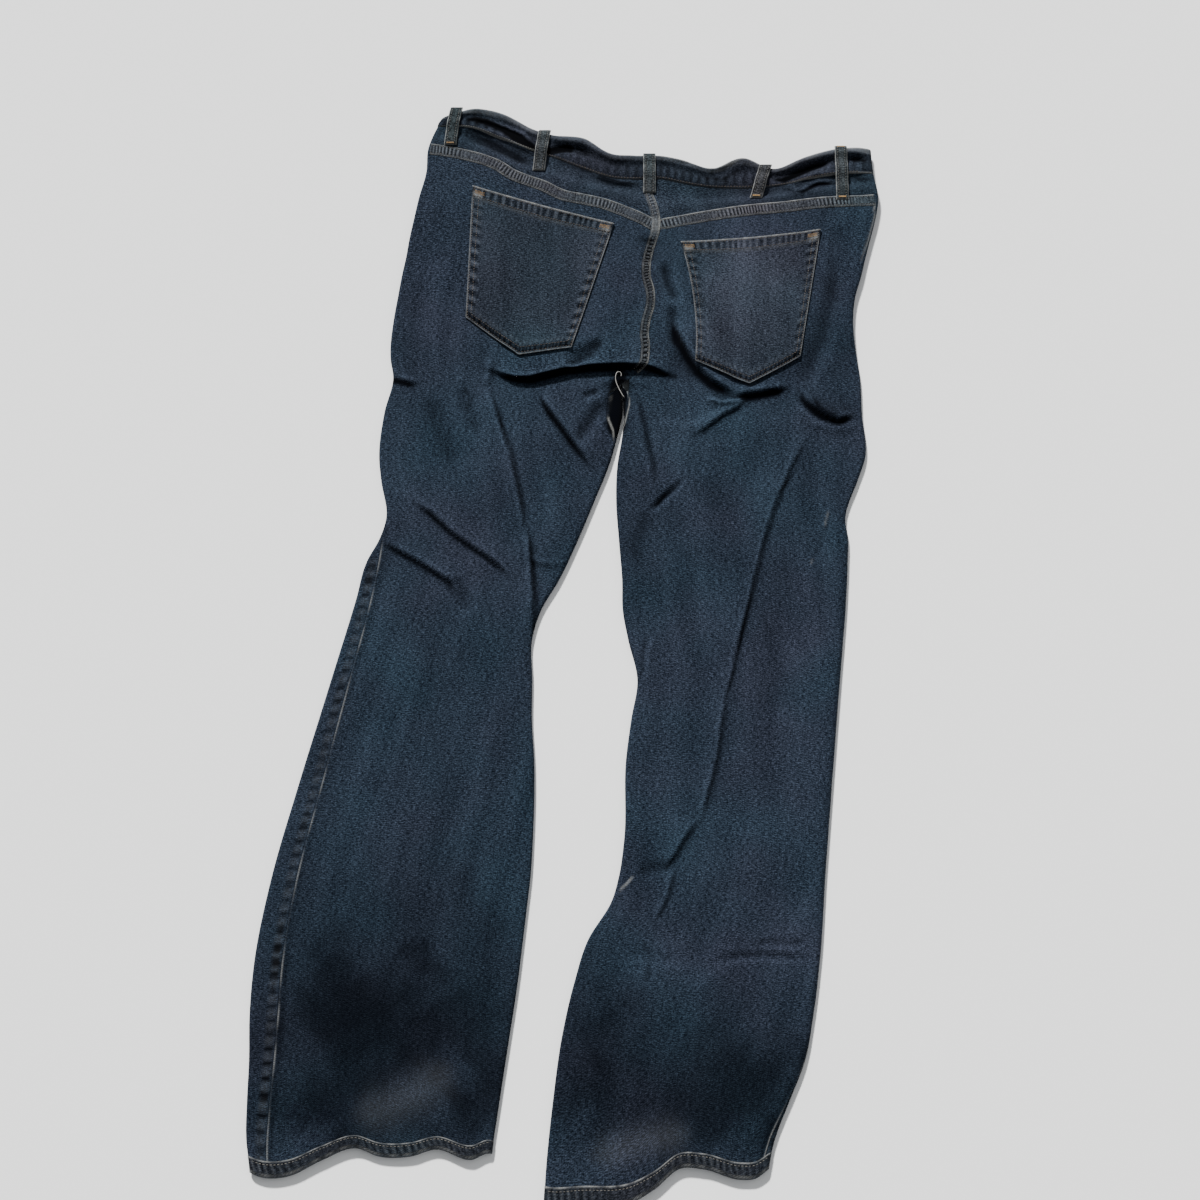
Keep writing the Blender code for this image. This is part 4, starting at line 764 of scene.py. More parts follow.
def denim(name, deep, pale, grain, pucker=0.0):
    """Indigo twill between a deep and a pale blue: fine grain and flecks across and along the
    threads, upright streaks, clouds of fading and of hue, a twill line as bump, and the four
    painted tones. Pucker adds the bars of a stitched seam."""
    material = bpy.data.materials.new(name)
    material.use_nodes = True
    tree = material.node_tree
    shader = tree.nodes["Principled BSDF"]

    def node(kind, inputs=(), **settings):
        made = tree.nodes.new(kind)
        for key, value in settings.items():
            setattr(made, key, value)
        for key, value in inputs:
            if isinstance(value, bpy.types.NodeSocket):
                tree.links.new(value, made.inputs[key])
            else:
                made.inputs[key].default_value = value
        return made

    def noise(coordinates, scale, detail, roughness):
        scaled = node("ShaderNodeMapping", (("Vector", coordinates), ("Scale", scale)))
        sockets = (
            ("Vector", scaled.outputs[0]), ("Scale", 1.0),
            ("Detail", detail), ("Roughness", roughness),
        )
        return node("ShaderNodeTexNoise", sockets).outputs["Fac"]

    def sum_of(first, weight, second):
        sockets = ((0, second), (1, weight), (2, first))
        return node("ShaderNodeMath", sockets, operation="MULTIPLY_ADD").outputs[0]

    def blend(amount, first, second, clamp=True):
        sockets = ((0, amount), (6, first), (7, second))
        return node("ShaderNodeMix", sockets, data_type="RGBA", clamp_factor=clamp).outputs[2]

    threads = node("ShaderNodeUVMap", uv_map="weave").outputs[0]
    place = node("ShaderNodeTexCoord").outputs["Object"]
    tones = node("ShaderNodeAttribute", attribute_name="tone")
    parts = node("ShaderNodeSeparateColor", (("Color", tones.outputs["Color"]),))
    grains = noise(threads, (820.0, 900.0, 1.0), 1.0, 0.60)
    across = noise(threads, (300.0, 1050.0, 1.0), 1.0, 0.5)
    upward = noise(threads, (900.0, 210.0, 1.0), 1.0, 0.5)
    streaks = noise(threads, (52.0, 5.0, 1.0), 2.0, 0.6)
    clouds = noise(place, (13.0, 13.0, 13.0), 3.0, 0.55)
    level = sum_of(0.70 - 0.5 * (1.3 + 1.6 + 0.7 + 0.40 + 0.35) * grain, 1.3 * grain, grains)
    level = sum_of(level, 1.6 * grain, across)
    level = sum_of(level, 0.7 * grain, upward)
    level = sum_of(level, 0.40 * grain, streaks)
    level = sum_of(level, 0.35 * grain, clouds)
    # The first tone lifts the blue: the fading, with the painted highlights.
    level = sum_of(level, 0.42, parts.outputs[0])
    if pucker:
        bars = noise(threads, (330.0, 45.0, 1.0), 1.0, 0.5)
        level = sum_of(sum_of(level, pucker, bars), -0.5 * pucker, 1.0)
    level = node("ShaderNodeClamp", (("Value", level), ("Min", 0.15), ("Max", 1.3))).outputs[0]
    level = node("ShaderNodeMath", ((0, level), (1, 2.0)), operation="POWER").outputs[0]
    hue = sum_of(-1.0, 3.0, noise(place, (8.0, 8.0, 8.0), 2.0, 0.5))
    teal = (0.88 * pale[0], 1.02 * pale[1], 1.02 * pale[2], 1.0)
    violet = (1.14 * pale[0], 0.97 * pale[1], 1.00 * pale[2], 1.0)
    dyed = blend(level, (*deep, 1.0), blend(hue, teal, violet), False)
    # The second tone takes the blue deeper: darker dye, and the painted shade and painted shadows
    # of the folds.
    dyed = blend(parts.outputs[1], dyed, (0.30 * deep[0], 0.30 * deep[1], 0.35 * deep[2], 1.0))
    frayed = noise(threads, (500.0, 500.0, 1.0), 2.0, 0.7)
    white = node("ShaderNodeMath", ((0, parts.outputs[2]), (1, frayed)), operation="MULTIPLY")
    sockets = ((0, white.outputs[0]), (1, 2.0))
    white = node("ShaderNodeMath", sockets, operation="MULTIPLY", use_clamp=True)
    dyed = blend(white.outputs[0], dyed, WORN_WHITE)
    weft = blend(grains, *WRONG_SIDE)
    tree.links.new(blend(tones.outputs["Alpha"], dyed, weft), shader.inputs["Base Color"])
    turn = (0.0, 0.0, math.radians(62))
    diagonal = node("ShaderNodeMapping", (("Vector", threads), ("Rotation", turn)))
    sockets = (("Vector", diagonal.outputs[0]), ("Scale", 210.0), ("Distortion", 1.2))
    twill = node("ShaderNodeTexWave", sockets).outputs["Fac"]
    relief = sum_of(sum_of(0.0, 0.35, twill), 1.0, grains)
    if pucker:
        relief = sum_of(relief, 1.6, bars)
    bump = node("ShaderNodeBump", (("Height", relief), ("Strength", 0.6), ("Distance", 0.0006)))
    tree.links.new(bump.outputs[0], shader.inputs["Normal"])
    shader.inputs["Roughness"].default_value = 0.92
    shader.inputs["Specular IOR Level"].default_value = 0.02
    shader.inputs["Sheen Weight"].default_value = 0.01
    shader.inputs["Sheen Roughness"].default_value = 0.6
    return material


leg_denim = denim("leg_denim", (0.0009, 0.0020, 0.0046), (0.0236, 0.0334, 0.0490), 1.0)

for side in ("left", "right"):
    levels = graded(
        (YOKE_LEVEL, 285, 2.4), (285, 205, 1.5), (205, -60, 2.5), (-60, -300, 2.9),
        (-300, HEM_LEVEL, 2.9),
    )
    levels[0] -= SEAM_GAP
    low, high, start, end = back_span(side, levels)
    along = spread(start, end, (0.0, 0.6, 1.3, 2.1, 3.2, 4.8, 7.0, 9.5), 104)
    row, outer, inner = ring_faces(along, levels, low, high)
    from_side = along - start[:, None] if side == "left" else end[:, None] - along
    bead = bell(from_side, 0.9, 0.6) * ease(74, 56, row)
    outer[..., 2] += 0.45 * bead
    scuffed = np.clip(0.17 + 0.20 * np.sin(row / 9.0 + 2 * np.sin(row / 31.0)), 0.03, 1)
    tone = cloth_tone(outer, row, bead * scuffed)
    seam_shade = bell(from_side, 4.0, 3.0) * ease(74, 40, row)
    tone[..., 1] = unit(tone[..., 1] + 0.25 * seam_shade)
    weave = np.stack([along * METRE + (0.0 if side == "left" else 1.7), row * METRE], axis=-1)
    back = cloth_mesh("back_" + side + "_cloth", outer, inner, weave, tone, leg_denim)
    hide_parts("back_" + side)

# ------------------------------------------------------------------ front leg panels
# The fronts are cut from the same twill. They lie on the table, turn up at the sides and
# show as a strip beside the left outseam, where the seam allowance beneath puckers them.
FRONT_SCOOP_LEVEL = 402.5
FRONT_SCOOP_WIDTH = 100.0
CROTCH_TURN = 16.0


def front_inner(side, levels):
    """Inner side of a front's ring, and how far past it the panel runs: a quarter turn that
    opens at the crotch, from cosines."""
    inner, leg_side = inner_line(side, levels)
    sign = 1.0 if side == "left" else -1.0
    angle = 0.5 * math.pi * (1 - ease(CROTCH_LEVEL + CROTCH_TURN, CROTCH_LEVEL, levels))
    edge = leg_side + sign * TURN_RADIUS * (1 - np.cos(angle))
    wrap = turn_length(np.maximum(sign * (leg_side - inner), 0.0))
    past = wrap * ease(CROTCH_LEVEL, CROTCH_LEVEL - CROTCH_TURN, levels) - angle * TURN_RADIUS
    return edge, past - 0.5 * SEAM_GAP


def front_sides(side, levels):
    """Low and high sides of the ring that a front lies on, and its reach past the inner one."""
    left, right = side_lines(levels)
    edge, past = front_inner(side, levels)
    return (left, edge, past) if side == "left" else (edge, right, past)


def scoop(levels):
    """Quarter sine of the front pocket's opening: its distance from the side fold."""
    t = unit((levels - FRONT_SCOOP_LEVEL) / (BAND_LEVEL - FRONT_SCOOP_LEVEL))
    return FRONT_SCOOP_WIDTH * np.sin(0.5 * math.pi * t)


def stretch(first, way, parts):
    """Places along each row: its first one plus parts of its way."""
    return first[:, None] + way[:, None] * parts[None, :]


def side_seam(side, levels):
    """Place of the outseam as a distance from the outer side fold, above 0 on top."""
    left, right = side_lines(levels)
    outer = left if side == "left" else right
    return turn_length(column(OUTER, side + "_wrap", row_y(levels, outer))) - 0.5 * SEAM_GAP


for side in ("left", "right"):
    levels = graded(
        (BAND_LEVEL, YOKE_LEVEL, 5.0), (YOKE_LEVEL, FRONT_SCOOP_LEVEL + 3, 5.0),
        (FRONT_SCOOP_LEVEL + 3, FRONT_SCOOP_LEVEL, 3.0), (FRONT_SCOOP_LEVEL, 262, 6.0),
        (262, 200, 3.0), (200, HEM_LEVEL, 4.2),
    )
    levels[0] -= FRONT_SEAM_GAP
    low, high, past = front_sides(side, levels)
    span = ring_span(low, high)
    in_scoop = levels > FRONT_SCOOP_LEVEL + 0.1
    start = np.where(in_scoop, -scoop(levels) - 0.5 * SEAM_GAP, side_seam(side, levels))
    first_flat = np.minimum(start - 4.0, -QUARTER_TURN - 1.0)
    last_flat = -(span - QUARTER_TURN - 1.0)
    distance = np.concatenate([
        stretch(start, first_flat - start, np.linspace(0, 1, 23)[:-1]),
        stretch(first_flat, last_flat - first_flat, np.linspace(0, 1, 39)[:-1]),
        stretch(last_flat, -(span + past) - last_flat, np.linspace(0, 1, 9)),
    ], axis=1)
    along = distance if side == "left" else span[:, None] - distance
    row, outer, inner = ring_faces(along, levels, low, high)
    on_top = ease(-1, 5, distance) * ease(64, 40, row)
    turns = 2 * math.pi * row / 13.5 + 0.9 * np.sin(row / 31) + 0.5 * np.sin(row / 7.7)
    beat = 0.5 + 0.5 * np.sin(turns)
    near_seam = bell(start[:, None] - distance, 5.0, 4.2, 4)
    outer[..., 2] -= 0.40 * on_top * beat * near_seam
    tone = cloth_tone(outer, row, 0.04 * on_top * (1 - beat) * near_seam)
    squares = ease(0.45, 0.80, beat) * (0.75 + 0.25 * np.sin(row / 19.0))
    tone[..., 1] = unit(tone[..., 1] + 0.85 * on_top * squares * near_seam)
    weave = np.stack([distance * METRE + (3.1 if side == "left" else 4.9), row * METRE], axis=-1)
    front = cloth_mesh("front_" + side + "_cloth", outer, inner, weave, tone, leg_denim)
    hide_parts("front_" + side)

# ------------------------------------------------------------------ yokes
# Two shaped pieces between the waistband and the seat. The lower edges are felled over the
# back panels, and the pieces meet at the centre back.
seat_denim = denim("seat_denim", (0.0009, 0.0018, 0.0042), (0.0255, 0.0348, 0.0485), 1.0)

for side in ("left", "right"):
    levels = graded((BAND_LEVEL, YOKE_LEVEL, 1.4))
    levels[0] -= SEAM_GAP
    levels[-1] += SEAM_GAP
    low, high, start, end = back_span(side, levels)
    along = spread(start, end, (0.0, 0.8, 1.8, 3.2, 5.0, 8.0), 100)
    row, outer, inner = ring_faces(along, levels, low, high)
    tone = cloth_tone(outer, row, 0.0)
    weave = np.stack([along * METRE + (6.3 if side == "left" else 7.9), row * METRE], axis=-1)
    yoke = cloth_mesh("yoke_" + side + "_cloth", outer, inner, weave, tone, seat_denim)
    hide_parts("yoke_" + side)

# ------------------------------------------------------------------ waistband
# One doubled strip round the waist, lapped at the centre front. Its top edge has curled
# over in the wash, and both long edges are stitched close to the fold.
FRONT_CENTRE = 37.0
BAND_OVERLAP = 18.0
LAP_RAMP = 22.0
LAP_MARGIN = 6.0
TURN_SPAN = 12.0       # close mesh this far round each side fold
band_denim = denim("band_denim", (0.0006, 0.0010, 0.0024), (0.0205, 0.0245, 0.0340), 1.0, 0.35)

levels = np.linspace(BAND_LEVEL + 1.2, WAIST_LEVEL - 0.9, 26)
levels = np.concatenate([[BAND_LEVEL + SEAM_GAP], levels, [WAIST_LEVEL]])
low, high = side_lines(levels)
span = ring_span(low, high)
centre = FRONT_CENTRE - low - TURN_RADIUS + QUARTER_TURN
start = -(centre + BAND_OVERLAP)
end = 2 * span - (centre - BAND_OVERLAP)
lap = end - 2 * BAND_OVERLAP - LAP_MARGIN
along = np.concatenate([
    stretch(start, -TURN_SPAN - start, np.linspace(0, 1, 46)[:-1]),
    0 * span[:, None] - np.linspace(TURN_SPAN, 0.0, 9)[None, :-1],
    stretch(0 * span, span, np.linspace(0, 1, 281)),
    span[:, None] + np.linspace(1.5, TURN_SPAN, 8)[None, :],
    stretch(span + TURN_SPAN, lap - LAP_RAMP - span - TURN_SPAN, np.linspace(0, 1, 50)[1:]),
    lap[:, None] + np.linspace(-LAP_RAMP + 2, BAND_OVERLAP, 18)[None, :],
    stretch(lap + BAND_OVERLAP, end - lap - BAND_OVERLAP, np.linspace(0, 1, 7)[1:]),
], axis=1)
row, outer, inner = ring_faces(along, levels, low, high)
lift = (CLOTH + 1.5 * SEAM_GAP) * ease(-LAP_RAMP, 0.0, along - lap[:, None])
outer[..., 2] += lift
inner[..., 2] += lift
on_back = ease(-2, 6, along) * ease(2, -6, along - span[:, None])
from_low_edge = row - BAND_LEVEL
from_top_edge = WAIST_LEVEL - row
swell = ease(0, 2.0, from_low_edge) * ease(-0.4, 2.2, from_top_edge)
grooves = bell(from_low_edge, 4.0, 1.1) + bell(from_top_edge, 6.0, 1.2)
bars = np.sin(2 * math.pi * along / 8.6 + 1.9 * np.sin(along / 19) + 1.1 * np.sin(along / 47))
barred = ease(3, 8, from_low_edge) * ease(26, 18, from_low_edge)
barred = barred * (0.6 + 0.4 * np.sin(along / 37 + 1))
outer[..., 2] += on_back * (0.9 * swell - 0.30 * grooves + 0.30 * bars * barred)
ends = np.maximum(ease(-44, -54, outer[..., 0]), ease(204, 212, outer[..., 0]))
edge_worn = (0.16 + 0.50 * ends) * bell(from_low_edge, 0.7, 0.7)
edge_worn = edge_worn + 0.22 * bell(from_top_edge, 1.0, 1.4)
tone = cloth_tone(outer, row, on_back * unit(edge_worn))
tone[..., 1] = unit(tone[..., 1] + on_back * (0.30 * grooves + 0.55 * barred * unit(bars)))
tone[..., 0] = unit(tone[..., 0] + on_back * 0.50 * barred * unit(-bars))
x, y = outer[..., 0], outer[..., 1]
# The curled top edge is painted paler: a painted highlight on the roll, stronger at the two raised
# ends, with a little worn white; the painted shade of the creases still holds there.
raised = 0.45 + 0.55 * np.maximum(ease(-45, -55, x), ease(190, 205, x))
roll_highlight_and_wear = on_back * ease(11, 7, from_top_edge) * raised
roll_highlight_and_wear = roll_highlight_and_wear * (0.8 + 0.2 * np.sin(x / 5.3 + 2 * np.sin(x / 17)))
tone[..., 1] *= 1 - 0.9 * unit(roll_highlight_and_wear * (1 - 0.8 * unit(crease_shade(x, y))))
tone[..., 0] = unit(tone[..., 0] + 0.9 * roll_highlight_and_wear)
tone[..., 2] = unit(tone[..., 2] + 0.14 * roll_highlight_and_wear)
weave = np.stack([along * METRE, row * METRE], axis=-1)
waistband = cloth_mesh("waistband_cloth", outer, inner, weave, tone, band_denim)
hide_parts("waistband")

# ------------------------------------------------------------------ felled seams of the seat
# The yokes are felled to the back panels and the two halves to each other: a flat band of
# folded cloth some 12 mm wide, puckered between its rows of stitches and worn white along
# its folded edges. The centre back seam laps over the yoke seams.
seam_denim = denim("seam_denim", (0.0008, 0.0012, 0.0026), (0.0470, 0.0540, 0.0640), 0.8, 0.4)


def plan_path(points, step):
    """Smooth path through plan points at even steps: arc length, X, Y and the unit normal to
    the left, from averaged slopes."""
    points = np.array(points, dtype=float)
    reach = np.concatenate([[0.0], np.cumsum(np.hypot(*np.diff(points, axis=0).T))])
    table = (("reach", "x", "y"), *np.column_stack([reach, points]))
    s = np.linspace(0, reach[-1], max(2, round(reach[-1] / step) + 1))
    x, y = column(table, "x", s), column(table, "y", s)
    dx, dy = np.gradient(x), np.gradient(y)
    size = np.hypot(dx, dy)
    return s, x, y, -dy / size, dx / size


def on_top(x, y):
    """Point of the draped cloth over a point of the plan, leaned as the seat fold leans."""
    return np.stack([x, y - lean(x, y), top_height(x, y, level_of(x, y))], axis=-1)


def beside(path, offset):
    """Points of the plan at signed distances to the left of a path."""
    s, x, y, nx, ny = path
    return x[:, None] + nx[:, None] * offset, y[:, None] + ny[:, None] * offset


def laid_strip(name, path, offset, rise, tone, material, weave_start):
    """Strip of cloth laid along a path: its face is the draped cloth plus the rise, and its
    back is half a millimetre inside that cloth."""
    x, y = beside(path, offset)
    ground = on_top(x, y)
    outer, inner = ground.copy(), ground.copy()
    outer[..., 2] += rise
    inner[..., 2] -= 0.5
    s = path[0][:, None] * METRE + weave_start
    weave = np.stack([s + 0 * x, offset[None, :] * METRE + 0 * x], -1)
    tone = tone.copy()
    # The painted shade of the creases, with the painted shadow under the seat fold, darkens the
    # strip and dims its worn white.
    tone[..., 1] = unit(tone[..., 1] + crease_shade(x, y))
    tone[..., 2] = tone[..., 2] * (1 - 0.8 * unit(crease_shade(x, y)))
    strip = cloth_mesh(name, outer, inner, weave, tone, material, 0.0)
    return strip


def felled(path, offset, low_edge, high_edge, height, beat, worn_low, worn_high):
    """Rise and tone of a felled band: a flat top with rounded edges, two stitched grooves and
    uneven puckers between them, from nested sines; its folded edges are worn pale."""
    s = path[0][:, None]
    flat = ease(low_edge, low_edge + 1.0, offset) * ease(high_edge, high_edge - 1.0, offset)
    grooves = bell(offset - low_edge, STITCHED, 0.7)
    grooves = grooves + bell(offset - high_edge + STITCHED, 0, 0.7)
    middle = ease(low_edge + 1.0, low_edge + 3.0, offset)
    middle = middle * ease(high_edge - 1.0, high_edge - 3.0, offset)
    turns = 2 * math.pi * s / beat + 2.1 * np.sin(s / 8.3) + 1.4 * np.sin(s / 21.0 + 1.0)
    pucker = np.sin(turns + offset * 0.12)
    pucker = pucker * (0.55 + 0.45 * np.sin(s / 12.7 + 0.8 * np.sin(s / 37.0)))
    rise = 0.12 + flat * (height - 0.30 * grooves + 0.32 * pucker * middle)
    worn = worn_low * bell(offset - low_edge, 0.5, 0.55)
    worn = worn + worn_high * bell(offset - high_edge + 0.5, 0, 0.55)
    worn = worn * (0.75 + 0.25 * np.sin(s / 3.1 + 2 * np.sin(s / 13.0)))
    worn = worn + 0.10 * middle * unit(pucker)
    shade = 0.35 * grooves + 0.85 * middle * unit(-pucker)
    paler = 0.90 * middle * unit(pucker)
    tone = np.stack([paler, shade + 0 * rise, worn + 0 * rise, 0 * rise], axis=-1)
    return rise + 0 * s, unit(tone)


ochre_rows = []
pale_rows = []
tack_rows = []
CENTRE_BAND = 7.5
YOKE_BAND = 12.0
STITCHED = 2.2         # the grooves of a felled seam run this far inside its edges
CENTRE_TOP = ((66, 455), (67.5, 449), (71, 438), (74.5, 425))
YOKE_SEAMS = (
    ("side", "worn edge", "sunk end", "weave start", "points"),
    ("left", 0.50, 0.0, 9.1, (
        (-155.5, 501), (-135, 498), (-118, 494), (-100, 488.5), (-84, 481), (-70, 471),
        (-55, 464.5), (-40, 459), (-19, 448), (0, 443.5), (21, 438), (41, 430), (61, 420.5),
        (76, 411),
    )),
    ("right", 0.65, 0.35, 9.6, (
        (66, 413), (83, 416.5), (103, 420.5), (121, 424), (166, 431), (202, 435), (242, 440),
        (262, 441), (291.5, 442.5),
    )),
)
band_steps = np.concatenate([[-YOKE_BAND, -11.5], np.linspace(-10.9, -0.4, 14), [0.1, 0.6]])
for side, worn_edge, sunk_end, weave_start, points in YOKE_SEAMS[1:]:
    path = plan_path(points, 0.7)
    rise, tone = felled(path, band_steps, -YOKE_BAND, 0.6, 0.85, 3.5, 0.45, worn_edge)
    rise = rise - bell(path[1], 75, 6.0)[:, None] * sunk_end
    name = "yoke_seam_" + side
    seam = laid_strip(name, path, band_steps, rise, tone, seam_denim, weave_start)
    for offset in (-1.6, -9.8):
        x, y = beside(path, np.array([offset]))
        pale_rows.append((on_top(x, y)[:, 0] + [0, 0, 0.60], 2.6))

y = np.linspace(411.0, 246.0, 60)
x = column(INNER, "left", y) + 0.8 * ease(300, 270, y)
centre_path = plan_path(np.concatenate([CENTRE_TOP, np.column_stack([x, y])]), 0.7)
band_steps = np.concatenate([[-CENTRE_BAND, -8.5], np.linspace(-7.9, -0.2, 11), [0.3, 0.8]])
rise, tone = felled(centre_path, band_steps, -CENTRE_BAND, 0.8, 0.90, 3.6, 0.14, 0.60)
crossing = bell(centre_path[2], 408.0, 9.5, 4)[:, None]
bare = ease(414, 428, centre_path[2])[:, None]
rise = rise * (1 - 0.35 * bare)
dark = ease(398, 380, centre_path[2])[:, None]
tone[..., 0] *= 1 - 0.4 * dark
tone[..., 1] = unit(tone[..., 1] * (1 - 0.6 * bare) + 0.34 * dark)
tone[..., 2] = unit(tone[..., 2] * (1 - 0.3 * bare) + 0.16 * crossing)
rise = rise + 0.8 * crossing
seam = laid_strip("centre_back_seam", centre_path, band_steps, rise, tone, seam_denim, 10.1)
lift = np.stack([0 * crossing[:, 0], 0 * crossing[:, 0], 0.64 + 0.8 * crossing[:, 0]], -1)
for offset in (-1.3, -6.0):
    x, y = beside(centre_path, np.array([offset]))
    pale_rows.append((on_top(x, y)[:, 0] + lift, 2.8))

# ------------------------------------------------------------------ patch pockets
# Two five-sided patches of the same twill. Their mouths are hemmed 13 mm deep, the sides and
# points are folded under and sewn down with a double row, and the sewing puckers the sides.
POCKETS = (
    # name, top left, top right, lower right, tip, lower left, bow of the mouth and the left side
    ("pocket_left", (-112.5, 452.0), (30.0, 409.0), (-12.0, 270.5), (-64.0, 262.5),
     (-116.5, 304.0), 2.0, 0.0),
    ("pocket_right", (96.5, 388.5), (237.0, 402.5), (212.5, 262.0), (162.0, 232.0),
     (109.0, 255.0), 3.0, 6.0),
)
PATCH_GAP = 0.7        # clearance over the cloth below
PATCH_SIZE = 140.0     # nominal size: places across and up a patch are fractions of it
PATCH_ROWS = (1.9, 6.8)  # stitched rows, from the edge
HULL_MARGIN = 0.08     # the cloth below is looked at this far past the patch
MOUTH_HEM = 12.5
pocket_denim = denim("pocket_denim", (0.0009, 0.0018, 0.0038), (0.0265, 0.0350, 0.0475), 1.0)


def window_max(height, reach):
    """Highest value within a few cells of each cell of a grid."""
    padded = np.pad(height, reach, mode="edge")
    rows, columns = height.shape
    best = height
    for i in range(2 * reach + 1):
        for j in range(2 * reach + 1):
            best = np.maximum(best, padded[i:i + rows, j:j + columns])
    return best


def window_mean(height, reach):
    """Average of the cells within a few cells of each cell of a grid."""
    padded = np.pad(height, reach, mode="edge")
    rows, columns = height.shape
    shifts = [(i, j) for i in range(2 * reach + 1) for j in range(2 * reach + 1)]
    return sum(padded[i:i + rows, j:j + columns] for i, j in shifts) / len(shifts)


def sample_grid(grid, across, up):
    """Value of an even grid at fractions across and up it, by straight lines between cells."""
    i = unit(up) * (grid.shape[0] - 1)
    j = unit(across) * (grid.shape[1] - 1)
    i0 = np.minimum(i.astype(int), grid.shape[0] - 2)
    j0 = np.minimum(j.astype(int), grid.shape[1] - 2)
    a, b = i - i0, j - j0
    low = grid[i0, j0] * (1 - b) + grid[i0, j0 + 1] * b
    high = grid[i0 + 1, j0] * (1 - b) + grid[i0 + 1, j0 + 1] * b
    return low * (1 - a) + high * a


def side_beat(across, from_low):
    """Puckers down a pocket's sides, about 11 mm apart: nested sines, out of step at the two."""
    return np.sin(2 * math.pi * from_low / 11.2 + 1.5 * np.sin(from_low / 17) + 3 * (across > 0.5))


